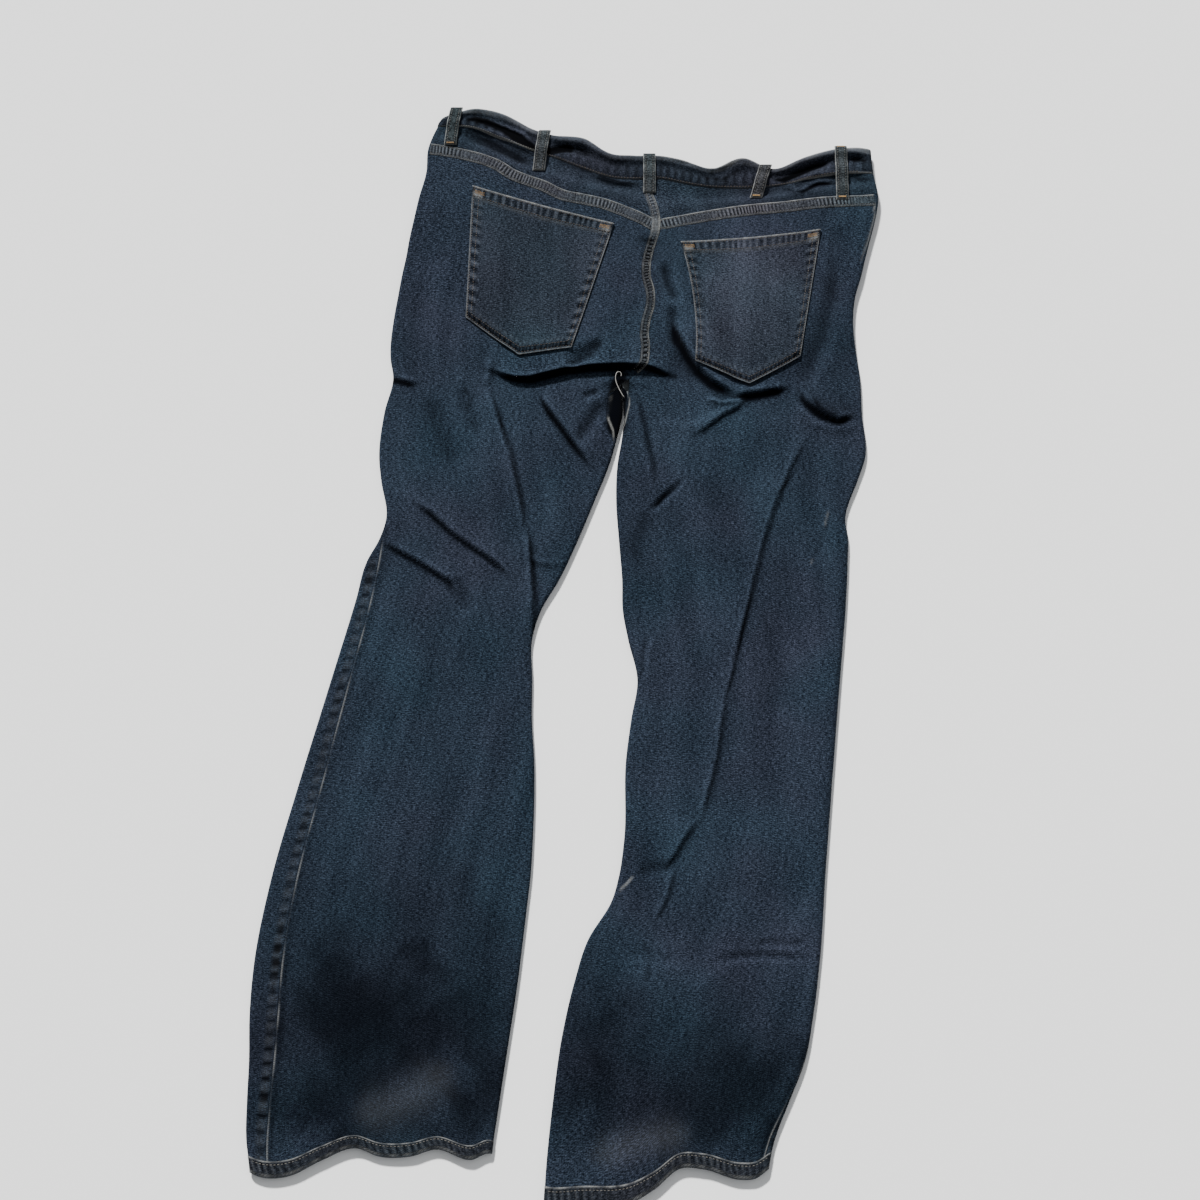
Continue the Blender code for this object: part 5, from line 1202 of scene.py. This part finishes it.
for name, top_left, top_right, low_right, tip, low_left, top_bow, left_bow in POCKETS:
    top_left, top_right, low_right, tip, low_left = (
        np.array(corner) for corner in (top_left, top_right, low_right, tip, low_left)
    )

    def patch_plan(across, up):
        """Plan of the patch: straight lines between its mouth and its pointed lower edge."""
        across, up = across[..., None], up[..., None]
        bowed = np.array([0, top_bow]) * 4 * across * (1 - across)
        top = top_left * (1 - across) + top_right * across - bowed
        left_half = low_left * (1 - 2 * across) + tip * 2 * across
        right_half = tip * (2 - 2 * across) + low_right * (2 * across - 1)
        low = np.where(across < 0.5, left_half, right_half)
        plan = low + (top - low) * up
        inwards = left_bow * (1 - across) ** 3 * 4 * up * (1 - up)
        return plan[..., 0] + inwards[..., 0], plan[..., 1]

    def ground_height(across, up):
        """Height of the smoothed hull of the cloth below the patch."""
        places = ((place + HULL_MARGIN) / (1 + 2 * HULL_MARGIN) for place in (across, up))
        return sample_grid(hull, *places)

    def patch_face(across, up):
        """Height of the patch's face: the smoothed hull of the cloth below, its own thickness,
        the mouth hem, the puckers at the sides and a little slack in the middle."""
        width = np.hypot(*(top_right - top_left))
        depth = np.hypot(*(top_left - low_left))
        from_side = width * np.minimum(across, 1 - across)
        from_low, from_top = depth * up, depth * (1 - up)
        border = np.minimum(from_side, from_low)
        height = ground_height(across, up) + PATCH_GAP + CLOTH
        height = height + 0.75 * ease(MOUTH_HEM + 0.6, MOUTH_HEM - 0.8, from_top)
        puckers = 0.60 * side_beat(across, from_low) * bell(from_side, 7.5, 4.0)
        height = height + puckers * ease(2, 14, from_top)
        beat = np.sin(2 * math.pi * width * across / 8.5 + np.sin(width * across / 13))
        height = height + 0.30 * beat * bell(from_low, 8.0, 4.0)
        height = height + 0.8 * ease(6, 40, border) - 0.4 * ease(2.5, 0.0, border)
        rows = bell(border, PATCH_ROWS[0], 0.8) + bell(border, PATCH_ROWS[1], 0.9)
        return height - 0.30 * rows * ease(MOUTH_HEM - 2, MOUTH_HEM, from_top)

    wide = np.linspace(-HULL_MARGIN, 1 + HULL_MARGIN, 110)
    x, y = patch_plan(*np.meshgrid(wide, wide))
    hull = window_mean(window_max(top_height(x, y, level_of(x, y)), 4), 3)
    near = np.array([0.0, 0.7, 1.4, 2.2, 3.2, 4.4, 5.6, 6.8, 8.2])
    middle = np.linspace(10.0, 130.0, 70)
    places = np.concatenate([near, middle, PATCH_SIZE - near[::-1]]) / PATCH_SIZE
    across, up = np.meshgrid(places, places)
    x, y = patch_plan(across, up)
    shift = lean(x, y)
    face = patch_face(across, up)
    ground = ground_height(across, up) + 0.25
    outer = np.stack([x, y - shift, face], -1)
    inner = np.stack([x, y - shift, ground], -1)
    from_side = PATCH_SIZE * np.minimum(across, 1 - across)
    from_low, from_top = PATCH_SIZE * up, PATCH_SIZE * (1 - up)
    border = np.minimum(from_side, from_low)
    # The painted shade of the creases and the painted shading lines fall on the pocket too.
    fading = wear(x, y) + 0.12 * np.sin(x / 21) * np.sin(y / 27) - crease_shade(x, y)
    piping = bell(border, 0.3, 0.38) * ease(MOUTH_HEM - 1, MOUTH_HEM, from_top)
    piping = piping * (1 - 0.35 * ease(1.5, 0.6, from_low))
    piping = piping + 0.8 * bell(from_top, 0.5, 0.7) + 0.35 * bell(from_top, MOUTH_HEM, 0.7)
    mottle = 0.20 * np.sin(x / 2.3 + np.sin(y / 5)) * np.sin(y / 2.7 + np.sin(x / 6))
    scuffed = piping * (0.62 + mottle)
    mouth = ease(MOUTH_HEM - 1, MOUTH_HEM - 3, from_top) * ease(1.0, 3.0, from_top)
    from_left = PATCH_SIZE * across
    squares = np.sin(from_left / 1.05 + 1.8 * np.sin(from_left / 9.0))
    beat = side_beat(across, from_low) * ease(2.0, 3.5, from_side) * ease(14, 8, from_side)
    beat = beat * ease(10, 16, from_top) * ease(10, 16, from_low)
    foot = ease(1.2, 2.4, from_low) * ease(8.5, 7.0, from_low)
    crumple = np.sin(from_left / 0.9 + 2.2 * np.sin(from_left / 6.0))
    shade = 0.55 * mouth * ease(-0.5, 0.4, squares) + 0.75 * unit(-beat)
    shade = shade + foot * (0.70 + 0.30 * crumple)
    shade = shade + 0.30 * ease(4.5, 2.0, border) * ease(1.0, 1.6, border)
    paler = 0.40 * mouth * ease(0.0, -0.8, squares) + 0.45 * unit(beat)
    paler = paler + 0.30 * bell(from_low, 10.5, 2.2) * (0.5 + 0.5 * crumple)
    corner = bell(from_side, 5.5, 4.5, 4) * bell(from_top, 8.5, 3.0, 4)
    shade = shade * (1 - corner)
    scuffed = scuffed + 0.30 * corner
    fading = fading + paler - shade
    tone = np.stack([unit(fading), unit(-fading), unit(scuffed + 0.10 * paler), 0 * x], -1)
    weave = np.stack([x, y], -1) * METRE + (11.3 if name == "pocket_left" else 12.7)
    pocket = cloth_mesh(name + "_cloth", outer, inner, weave, tone, pocket_denim, 0.0)
    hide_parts(name)

    def patch_row(across, up):
        """Stitched row over the patch, just above its face."""
        x, y = patch_plan(across, up)
        return np.stack([x, y - lean(x, y), patch_face(across, up) + 0.05], -1)

    line = np.linspace(0, 1, 160)
    for inset in (PATCH_ROWS[0] / PATCH_SIZE, PATCH_ROWS[1] / PATCH_SIZE):
        run = np.linspace(inset, 1 - inset, 160)
        ochre_rows.append((patch_row(inset + 0 * line, 1 - line * (1 - inset)), 2.9))
        ochre_rows.append((patch_row(run, inset + 0 * run), 2.9))
        ochre_rows.append((patch_row(1 - inset + 0 * line, inset + line * (1 - inset)), 2.9))
    for inset in (2.2, 10.6):
        ochre_rows.append((patch_row(line * 0.98 + 0.01, 1 - inset / PATCH_SIZE + 0 * line), 2.9))
    for corner in (0.02, 0.91):
        for inset in (4.4, 5.2, 6.0, 6.8, 7.6):
            tack = patch_row(corner + 0.07 * line, 1 - inset / PATCH_SIZE + 0 * line)
            tack_rows.append((tack, 1.2))

# ------------------------------------------------------------------ belt loops
# Seven straps of folded twill, 12.5 mm wide, tacked over the waistband at both ends. They
# stand off it in the middle, their edges are worn white and the tacks are ochre thread.
LOOP_WIDTH = 12.5
LOOP_THICKNESS = 1.8
LOOP_GAP = 0.6
LOOP_ROW = 3.6         # each stitched row runs this far from the middle
TACK_INSET = 2.2
LOOPS = (
    # name, X of the top and the foot, levels of the top and the foot, bow, bar tacks that show
    ("belt_loop_side_left", -130, -136, 528, 441, 3.0, 1),
    ("belt_loop_back_left", -40, -46, 519, 452, 3.0, 0),
    ("belt_loop_centre", 66, 66, 517, 462, 2.5, 0),
    ("belt_loop_back_right", 184, 173, 518, 455, 3.0, 1),
    ("belt_loop_side_right", 260, 260, 517, 434, 3.0, 2),
)
FRONT_LOOPS = (("belt_loop_front_left", -62), ("belt_loop_front_right", 176))
loop_denim = denim("loop_denim", (0.0018, 0.0025, 0.0033), (0.0500, 0.0570, 0.0610), 0.85, 0.3)


def strap(name, line, upwards, weave_start):
    """Strap carried along a centre line: a crowned top with two stitched grooves and rounded,
    worn edges over a flat back."""
    tangent = np.gradient(line, axis=0)
    normal = np.cross([1.0, 0.0, 0.0], tangent)
    normal = normal / np.linalg.norm(normal, axis=1, keepdims=True) * upwards
    offset = np.concatenate([[-0.5, -0.47], np.linspace(-0.42, 0.42, 11), [0.47, 0.5]]) * LOOP_WIDTH
    edge = np.abs(offset) / (0.5 * LOOP_WIDTH)
    thick = LOOP_THICKNESS * (0.35 + 0.65 * ease(1.0, 0.88, edge))
    thick = thick - 0.22 * bell(np.abs(offset), LOOP_ROW, 0.7)
    s = np.concatenate([[0], np.cumsum(np.linalg.norm(np.diff(line, axis=0), axis=1))])
    end = ease(0, 1.6, s) * ease(0, 1.6, s[-1] - s)
    base = line[:, None, :] + offset[None, :, None] * np.array([1.0, 0.0, 0.0])
    outer = base + normal[:, None, :] * (thick[None, :] * (0.45 + 0.55 * end[:, None]))[..., None]
    scuffs = 0.62 + 0.20 * np.sin(s / 1.9 + np.sin(s / 7))
    worn = ease(0.84, 0.98, edge)[None, :] * scuffs[:, None]
    worn = np.maximum(worn, 0.45 * (1 - end[:, None]))
    shade = 0.6 * bell(np.abs(offset), LOOP_ROW, 0.8)[None, :] + 0 * worn
    tone = np.stack([0 * worn, shade, worn, 0 * worn], -1)
    up = s[:, None] * METRE + weave_start
    weave = np.stack([offset[None, :] * METRE + 0 * worn, up + 0 * worn], -1)
    loop = cloth_mesh(name + "_cloth", outer, base, weave, tone, loop_denim, 0.0)
    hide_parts(name)
    for side in (-LOOP_ROW, LOOP_ROW):
        row = line + normal * (LOOP_THICKNESS - 0.25) + np.array([side, 0.0, 0.0])
        pale_rows.append((row, 2.8))
    return line, normal, s


tack_bars = []
for number, (name, x_top, x_low, top, low, bow, tacked) in enumerate(LOOPS):
    t = np.linspace(0, 1, 60)
    level = low + (top - low) * t
    x = x_low + (x_top - x_low) * t
    y = row_y(level, x)
    places = [x + off for off in (-6.2, -3, 0, 3, 6.2)]
    height = np.max([top_height(at, row_y(level, at), level) for at in places], axis=0)
    height = np.convolve(np.pad(height, 4, mode="edge"), np.ones(9) / 9, mode="valid")
    line = np.stack([x, y, height + LOOP_GAP + bow * np.sin(math.pi * t)], -1)
    line, normal, s = strap(name, line, 1.0, 14.1 + 0.1 * number)
    for place in (TACK_INSET, s[-1] - TACK_INSET)[:tacked]:
        at = int(np.argmin(np.abs(s - place)))
        tack_bars.append(line[at] + normal[at] * LOOP_THICKNESS)
for number, (name, x) in enumerate(FRONT_LOOPS):
    level = np.linspace(BAND_LEVEL - 14.0, WAIST_LEVEL - 1, 40)
    x_at = x + 0 * level
    line = np.stack([x_at, front_y(level, x_at), floor_rise(level) - SEAM_GAP], -1)
    strap(name, line, -1.0, 14.8 + 0.1 * number)

# ------------------------------------------------------------------ hems of the legs
# Each leg is turned up twice, 11 mm deep, and stitched once round near the top of the turn.
# Washing has roped the turn into short slanting ridges, with white along its edges.
HEM_BAND = 11.5
HEM_ROW = 2.6          # the stitched row runs this far below the top of the turn
hem_denim = denim("hem_denim", (0.0008, 0.0012, 0.0022), (0.0200, 0.0240, 0.0305), 0.9, 0.5)

for side in ("left", "right"):
    steps = np.concatenate([[HEM_BAND, 11.0], np.linspace(10.3, 0.8, 12), [0.2, -0.3, -0.6]])
    levels = HEM_LEVEL + steps
    left, right = side_lines(levels)
    inner, leg_side = inner_line(side, levels)
    low, high = (left, leg_side) if side == "left" else (leg_side, right)
    span = ring_span(low, high)
    along = 2 * span[:, None] * np.linspace(0, 1, 441)[None, :]
    row, outer, inside = ring_faces(along, levels, low, high)
    top_side = ease(-2, 5, np.minimum(along, span[:, None] - along))
    outer[..., 1] -= unit(HEM_LEVEL - row)
    inside[..., 1] -= unit(HEM_LEVEL - row)
    from_edge = row - HEM_LEVEL
    round_edge = ease(-0.7, 1.6, from_edge) * ease(HEM_BAND, HEM_BAND - 0.9, from_edge)
    turns = 2 * math.pi * along / 6.3 + 0.22 * from_edge + 1.6 * np.sin(along / 13)
    rope = np.sin(turns + 1.1 * np.sin(along / 27)) * (0.65 + 0.35 * np.sin(along / 21 + 1))
    rope = rope * ease(-0.5, 3, from_edge) * ease(HEM_BAND, HEM_BAND - 3.5, from_edge)
    groove = bell(from_edge - HEM_BAND + HEM_ROW, 0, 0.9)
    outer[..., 2] += top_side * (0.1 + round_edge * (0.95 - 0.35 * groove + 0.20 * rope)) - 0.04
    sideways = np.where(along > 0.5 * span[:, None], 1, -1) * np.where(along > span[:, None], 0, 1)
    outer[..., 0] += 0.35 * sideways * (1 - top_side)
    inside[..., 2] += np.where(along < span[:, None], -0.5, 0.5) * round_edge * top_side
    worn = bell(from_edge - HEM_BAND + 0.6, 0, 0.55) + 0.6 * bell(from_edge, 0.4, 0.8)
    worn = worn * (0.30 + 0.18 * np.sin(along / 2.7 + 2 * np.sin(along / 11)))
    worn = worn + 0.06 * unit(rope) ** 2
    shade = 0.35 * groove + 0.50 * unit(-rope)
    paler = 0.25 * unit(rope)
    tone = np.stack([paler, unit(shade), unit(worn), 0 * rope], -1)
    weave = np.stack([along * METRE + (16.1 if side == "left" else 17.3), row * METRE], -1)
    hem = cloth_mesh("hem_" + side, outer, inside, weave, tone, hem_denim)
    stitched = int(np.argmin(np.abs(levels - HEM_LEVEL - HEM_BAND + HEM_ROW)))
    on_back = (along[stitched] > 4) & (along[stitched] < span[stitched] - 4)
    pale_rows.append((outer[stitched][on_back] + [0, 0, 0.05], 3.2))

# ------------------------------------------------------------------ front pocket facings
# Curved openings in the fronts are filled by facings of the same twill, which lie on the
# table side. They run from the waistband to a blunt tip at the side seam.
for side in ("left", "right"):
    levels = graded((BAND_LEVEL, YOKE_LEVEL, 4.0), (YOKE_LEVEL, FRONT_SCOOP_LEVEL + 3, 4.0))
    levels[0] -= FRONT_SEAM_GAP
    low, high, past = front_sides(side, levels)
    span = ring_span(low, high)
    seam_at = side_seam(side, levels)
    edge = -scoop(levels) + 0.5 * SEAM_GAP
    turned = np.maximum(-2.0 * TURN_RADIUS, 0.7 * (edge - seam_at))
    first = stretch(seam_at, turned, np.linspace(0, 1, 9)[:-1])
    flat = stretch(seam_at + turned, edge - seam_at - turned, np.linspace(0, 1, 23))
    distance = np.concatenate([first, flat], axis=1)
    along = distance if side == "left" else span[:, None] - distance
    row, outer, inner = ring_faces(along, levels, low, high)
    tone = cloth_tone(outer, row, 0.0)
    weave = np.stack([distance * METRE + (18.3 if side == "left" else 19.1), row * METRE], -1)
    facing = cloth_mesh("front_pocket_" + side + "_cloth", outer, inner, weave, tone, seat_denim)
    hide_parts("front_pocket_" + side)

# ------------------------------------------------------------------ fly
# A flap of twill covers the zip on the table side. It runs straight down the centre front
# and curves in at its lower end, with a double row of stitches inside the curve.
FLY_WIDTH, FLY_TIP_WIDTH, FLY_PAST = 40.0, 8.0, 4.0
FLY_TOP_LEVEL, FLY_CURVE_LEVEL = 466.0, 350.0

levels = graded((FLY_TOP_LEVEL, FLY_CURVE_LEVEL, 4.0), (FLY_CURVE_LEVEL, FLY_LOW_LEVEL, 2.0))
t = unit((FLY_CURVE_LEVEL - levels) / (FLY_CURVE_LEVEL - FLY_LOW_LEVEL))
width = FLY_TIP_WIDTH + (FLY_WIDTH - FLY_TIP_WIDTH) * np.sqrt(np.maximum(1 - t * t, 0.0))
across = np.concatenate([[0, 0.02, 0.05], np.linspace(0.1, 0.9, 15), [0.95, 0.98, 1]])
x = FRONT_CENTRE + FLY_PAST - width[:, None] * (1 - across[None, :])
row = levels[:, None] + 0 * x
height = floor_rise(row) - SEAM_GAP
edge = np.minimum(across, 1 - across)[None, :] * width[:, None]
upper = np.stack([x, front_y(row, x), height], -1)
lower = np.stack([x, front_y(row, x), height - CLOTH * (0.6 + 0.4 * ease(0, 1.5, edge))], -1)
worn = 0.6 * bell(edge, 0.5, 0.8)
tone = np.stack([0 * x, 0 * x, worn, 0 * x], -1)
weave = np.stack([x, row], -1) * METRE + 20.3
fly = cloth_mesh("fly_flap_cloth", lower, upper, weave, tone, seat_denim, 0.0)
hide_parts("fly_flap")
for inset in (3.0, 8.5):
    x = FRONT_CENTRE + FLY_PAST - width + inset * np.minimum(1.0, width / FLY_WIDTH + 0.2)
    height = floor_rise(levels) - SEAM_GAP - CLOTH - 0.05
    ochre_rows.append((np.stack([x, front_y(levels, x), height], -1), 3.0))

# ------------------------------------------------------------------ shank button
# A pressed metal button on the lapped end of the waistband, face to the table: a rolled rim,
# a sunk ring and a low dome, in worn copper. It stays done up.
BUTTON_PROFILE = (
    (0.0, 2.6), (4.6, 2.6), (5.2, 2.45), (7.4, 1.9), (8.1, 1.55), (8.5, 1.05), (8.35, 0.55),
    (7.9, 0.22), (7.3, 0.12), (6.7, 0.25), (6.2, 0.55), (5.7, 0.62), (5.1, 0.50), (4.2, 0.22),
    (2.8, 0.06), (1.4, 0.0), (0.0, 0.0),
)


def mottled(name, scale, detail, stops):
    """Material that goes between two colours with fine noise: the stops give the two places on
    the noise and their colours. Returned with its shader and its noise."""
    material = bpy.data.materials.new(name)
    material.use_nodes = True
    tree = material.node_tree
    shader = tree.nodes["Principled BSDF"]
    place = tree.nodes.new("ShaderNodeTexCoord")
    spots = tree.nodes.new("ShaderNodeTexNoise")
    spots.inputs["Scale"].default_value = scale
    spots.inputs["Detail"].default_value = detail
    tree.links.new(place.outputs["Object"], spots.inputs["Vector"])
    ramp = tree.nodes.new("ShaderNodeValToRGB")
    for stop, (position, colour) in zip(ramp.color_ramp.elements, stops):
        stop.position = position
        stop.color = (*colour, 1.0)
    tree.links.new(spots.outputs["Fac"], ramp.inputs["Fac"])
    tree.links.new(ramp.outputs["Color"], shader.inputs["Base Color"])
    return material, shader, spots


def smooth_piece(name, points, faces, material):
    """Smooth piece from points of the plan and faces, carried by the garment's body."""
    mesh = bpy.data.meshes.new(name)
    mesh.from_pydata(((points - PLAN_CENTRE) * METRE).tolist(), [], faces)
    mesh.shade_smooth()
    mesh.materials.append(material)
    piece = placed(name, mesh)
    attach(piece, "root")
    return piece


copper_tones = ((0.35, (0.20, 0.12, 0.07)), (0.7, (0.55, 0.36, 0.22)))
copper, shader, spots = mottled("button_copper", 900.0, 4.0, copper_tones)
shader.inputs["Metallic"].default_value = 1.0
shader.inputs["Roughness"].default_value = 0.38

radius, height = np.array(BUTTON_PROFILE).T
turn = np.linspace(0, 2 * math.pi, 64, endpoint=False)
level = 0.5 * (BAND_LEVEL + WAIST_LEVEL) + 2.0
middle = np.array([FRONT_CENTRE, float(front_y(level, FRONT_CENTRE)), 0.3])
rings = [radius[1:-1, None] * np.cos(turn), radius[1:-1, None] * np.sin(turn)]
rings = np.stack([*rings, height[1:-1, None] + 0 * turn], -1)
points = np.concatenate([rings.reshape(-1, 3), [[0, 0, height[0]], [0, 0, height[-1]]]]) + middle
index = np.arange(rings.shape[0] * 64).reshape(-1, 64)
side_on = np.roll(index, -1, axis=1)
bands = np.stack([index[:-1], index[1:], side_on[1:], side_on[:-1]], -1).reshape(-1, 4)
faces = bands.tolist()
faces += [(int(a), int(b), len(points) - 2) for a, b in zip(index[0], side_on[0])]
faces += [(int(b), int(a), len(points) - 1) for a, b in zip(index[-1], side_on[-1])]
button = smooth_piece("shank_button", points, faces, copper)
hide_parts("button")

# ------------------------------------------------------------------ sewing threads
# The visible rows are lockstitch in ochre and in a paler thread. Every stitch is a short
# thread that dips into the cloth at both ends. The loops and pocket mouths end in bar tacks.
STITCH_LENGTH_SHARE = 0.80  # of the pitch; the rest is the dip between two stitches
THREAD_RADIUS = 0.34
TACK_RADIUS = 0.42


def thread(name, colour_low, colour_high):
    """Spun thread: two tones in fine noise, matt, with a twisted bump."""
    stops = ((0.35, colour_low), (0.65, colour_high))
    material, shader, fuzz = mottled(name, 260.0, 3.0, stops)
    tree = material.node_tree
    twist = tree.nodes.new("ShaderNodeBump")
    twist.inputs["Strength"].default_value = 0.4
    twist.inputs["Distance"].default_value = 0.0002
    tree.links.new(fuzz.outputs["Fac"], twist.inputs["Height"])
    tree.links.new(twist.outputs["Normal"], shader.inputs["Normal"])
    shader.inputs["Roughness"].default_value = 0.8
    shader.inputs["Sheen Weight"].default_value = 0.2
    return material


def stitches(middles, ways, half_length, radius):
    """Closed threads of hexagonal section at many places: three rings and two pole points,
    swollen in the middle and dipped at both ends."""
    ways = ways / np.linalg.norm(ways, axis=1, keepdims=True)
    across = np.cross(np.array([0.0, 0.0, 1.0]), ways)
    across = across / np.linalg.norm(across, axis=1, keepdims=True)
    lift = np.cross(ways, across)
    turn = np.arange(6) * math.pi / 3
    reach = np.array([-0.72, 0.0, 0.72])
    girth = np.array([0.75, 1.0, 0.75])
    dipped = girth[:, None] * np.sin(turn) * radius - 0.22 * (reach[:, None] ** 2)
    body = (
        ways[:, None, None, :] * (reach[:, None, None] * half_length)
        + across[:, None, None, :] * (girth[:, None] * np.cos(turn) * radius)[..., None]
        + lift[:, None, None, :] * dipped[..., None]
    ).reshape(len(middles), 18, 3)
    poles = ways[:, None, :] * np.array([-1.0, 1.0])[:, None] * half_length
    poles = poles - lift[:, None, :] * 0.42
    points = np.concatenate([body, poles], axis=1) + middles[:, None, :]
    k = np.arange(6)
    following = (k + 1) % 6
    band = np.stack([following, k, k + 6, following + 6], -1)
    quads = np.concatenate([band, band + 6])
    quads = np.concatenate([quads[:, [0, 1, 2]], quads[:, [0, 2, 3]]])
    caps = np.concatenate([
        np.stack([k, following, 0 * k + 18], -1),
        np.stack([following + 12, k + 12, 0 * k + 19], -1),
    ])
    faces = np.concatenate([quads, caps])
    faces = (faces[None] + 20 * np.arange(len(middles))[:, None, None]).reshape(-1, 3)
    return points.reshape(-1, 3), faces


def sewn(name, rows, bars, material):
    """All stitches of one thread: even places along each row, then the tack bars."""
    points, faces, count = [], [], 0
    for row, pitch in rows:
        s = np.concatenate([[0], np.cumsum(np.linalg.norm(np.diff(row, axis=0), axis=1))])
        number = max(1, int(s[-1] / pitch))
        at = (np.arange(number) + 0.5) * s[-1] / number
        middle = np.stack([np.interp(at, s, row[:, i]) for i in range(3)], -1)
        ahead = np.stack([np.interp(at + 0.6, s, row[:, i]) for i in range(3)], -1)
        behind = np.stack([np.interp(at - 0.6, s, row[:, i]) for i in range(3)], -1)
        p, f = stitches(middle, ahead - behind, 0.5 * pitch * STITCH_LENGTH_SHARE, THREAD_RADIUS)
        points.append(p)
        faces.append(f + count)
        count += len(p)
    for middle, way, length, pitch, half in bars:
        at = np.arange(-0.5 * length, 0.5 * length, pitch)
        places = middle + np.array(way)[None, :] * at[:, None]
        cross = np.tile(np.array([way[1], -way[0], 0.0]) + 0.15 * np.array(way), (len(at), 1))
        p, f = stitches(places, cross, half, TACK_RADIUS)
        points.append(p)
        faces.append(f + count)
        count += len(p)
    faces = np.concatenate(faces).tolist()
    piece = smooth_piece(name, np.concatenate(points), faces, material)


ochre = thread("ochre_thread", (0.020, 0.014, 0.009), (0.066, 0.046, 0.028))
tacks = thread("tack_thread", (0.130, 0.068, 0.014), (0.330, 0.190, 0.055))
pale = thread("pale_thread", (0.050, 0.047, 0.040), (0.120, 0.112, 0.095))

x = np.linspace(-150, 284, 500)
y = row_y(BAND_LEVEL + 2.5, x)
place = np.stack([x, y, top_height(x, y, BAND_LEVEL + 2.5) + 0.80], -1)
pale_rows.append((place[15:124], 2.6))
ochre_rows.append((place[124:-8], 3.0))
bars = [(place + np.array([0.0, 0.0, 0.1]), (1.0, 0.0, 0.0), 7.0, 0.75, 1.0) for place in tack_bars]
sewn("ochre_stitches", ochre_rows, [], ochre)
sewn("tack_stitches", tack_rows, bars, tacks)
sewn("pale_stitches", pale_rows, [], pale)

# ------------------------------------------------------------------ loose thread
# A white thread end curls out of the crotch, where the four panels and the two seams meet.
# The curl is a round thread carried along a smooth path through nine points.
curl = np.array([
    (40, 219, 8.2), (37, 223.5, 9.0), (34, 229, 10.2), (31.6, 235, 11.6), (31.2, 240, 12.6),
    (32.6, 244, 13.0), (35.2, 245, 12.6), (36.8, 243, 11.8), (36.4, 240.5, 11.0),
])
t = np.linspace(0, 8, 90)
table = (("t", "x", "y", "z"), *np.column_stack([np.arange(9), curl]))
line = np.stack([column(table, name, t) for name in ("x", "y", "z")], -1)
way = np.gradient(line, axis=0)
way = way / np.linalg.norm(way, axis=1, keepdims=True)
across = np.cross(way, [0.3, 0.2, 1.0])
across = across / np.linalg.norm(across, axis=1, keepdims=True)
lift = np.cross(way, across)
turn = np.arange(8) * math.pi / 4
thin = 0.34 * ease(0, 0.4, t) * ease(8, 7.6, t) + 0.02
ring = line[:, None, :] + thin[:, None, None] * (
    across[:, None, :] * np.cos(turn)[:, None] + lift[:, None, :] * np.sin(turn)[:, None]
)
index = np.arange(90 * 8).reshape(90, 8)
beside_it = np.roll(index, -1, axis=1)
faces = np.stack([index[:-1], beside_it[:-1], beside_it[1:], index[1:]], -1).reshape(-1, 4).tolist()
faces += [index[0, ::-1].tolist(), index[-1].tolist()]
white = thread("white_thread", (0.20, 0.195, 0.18), (0.36, 0.35, 0.33))
curl_piece = smooth_piece("thread_curl", ring.reshape(-1, 3), faces, white)
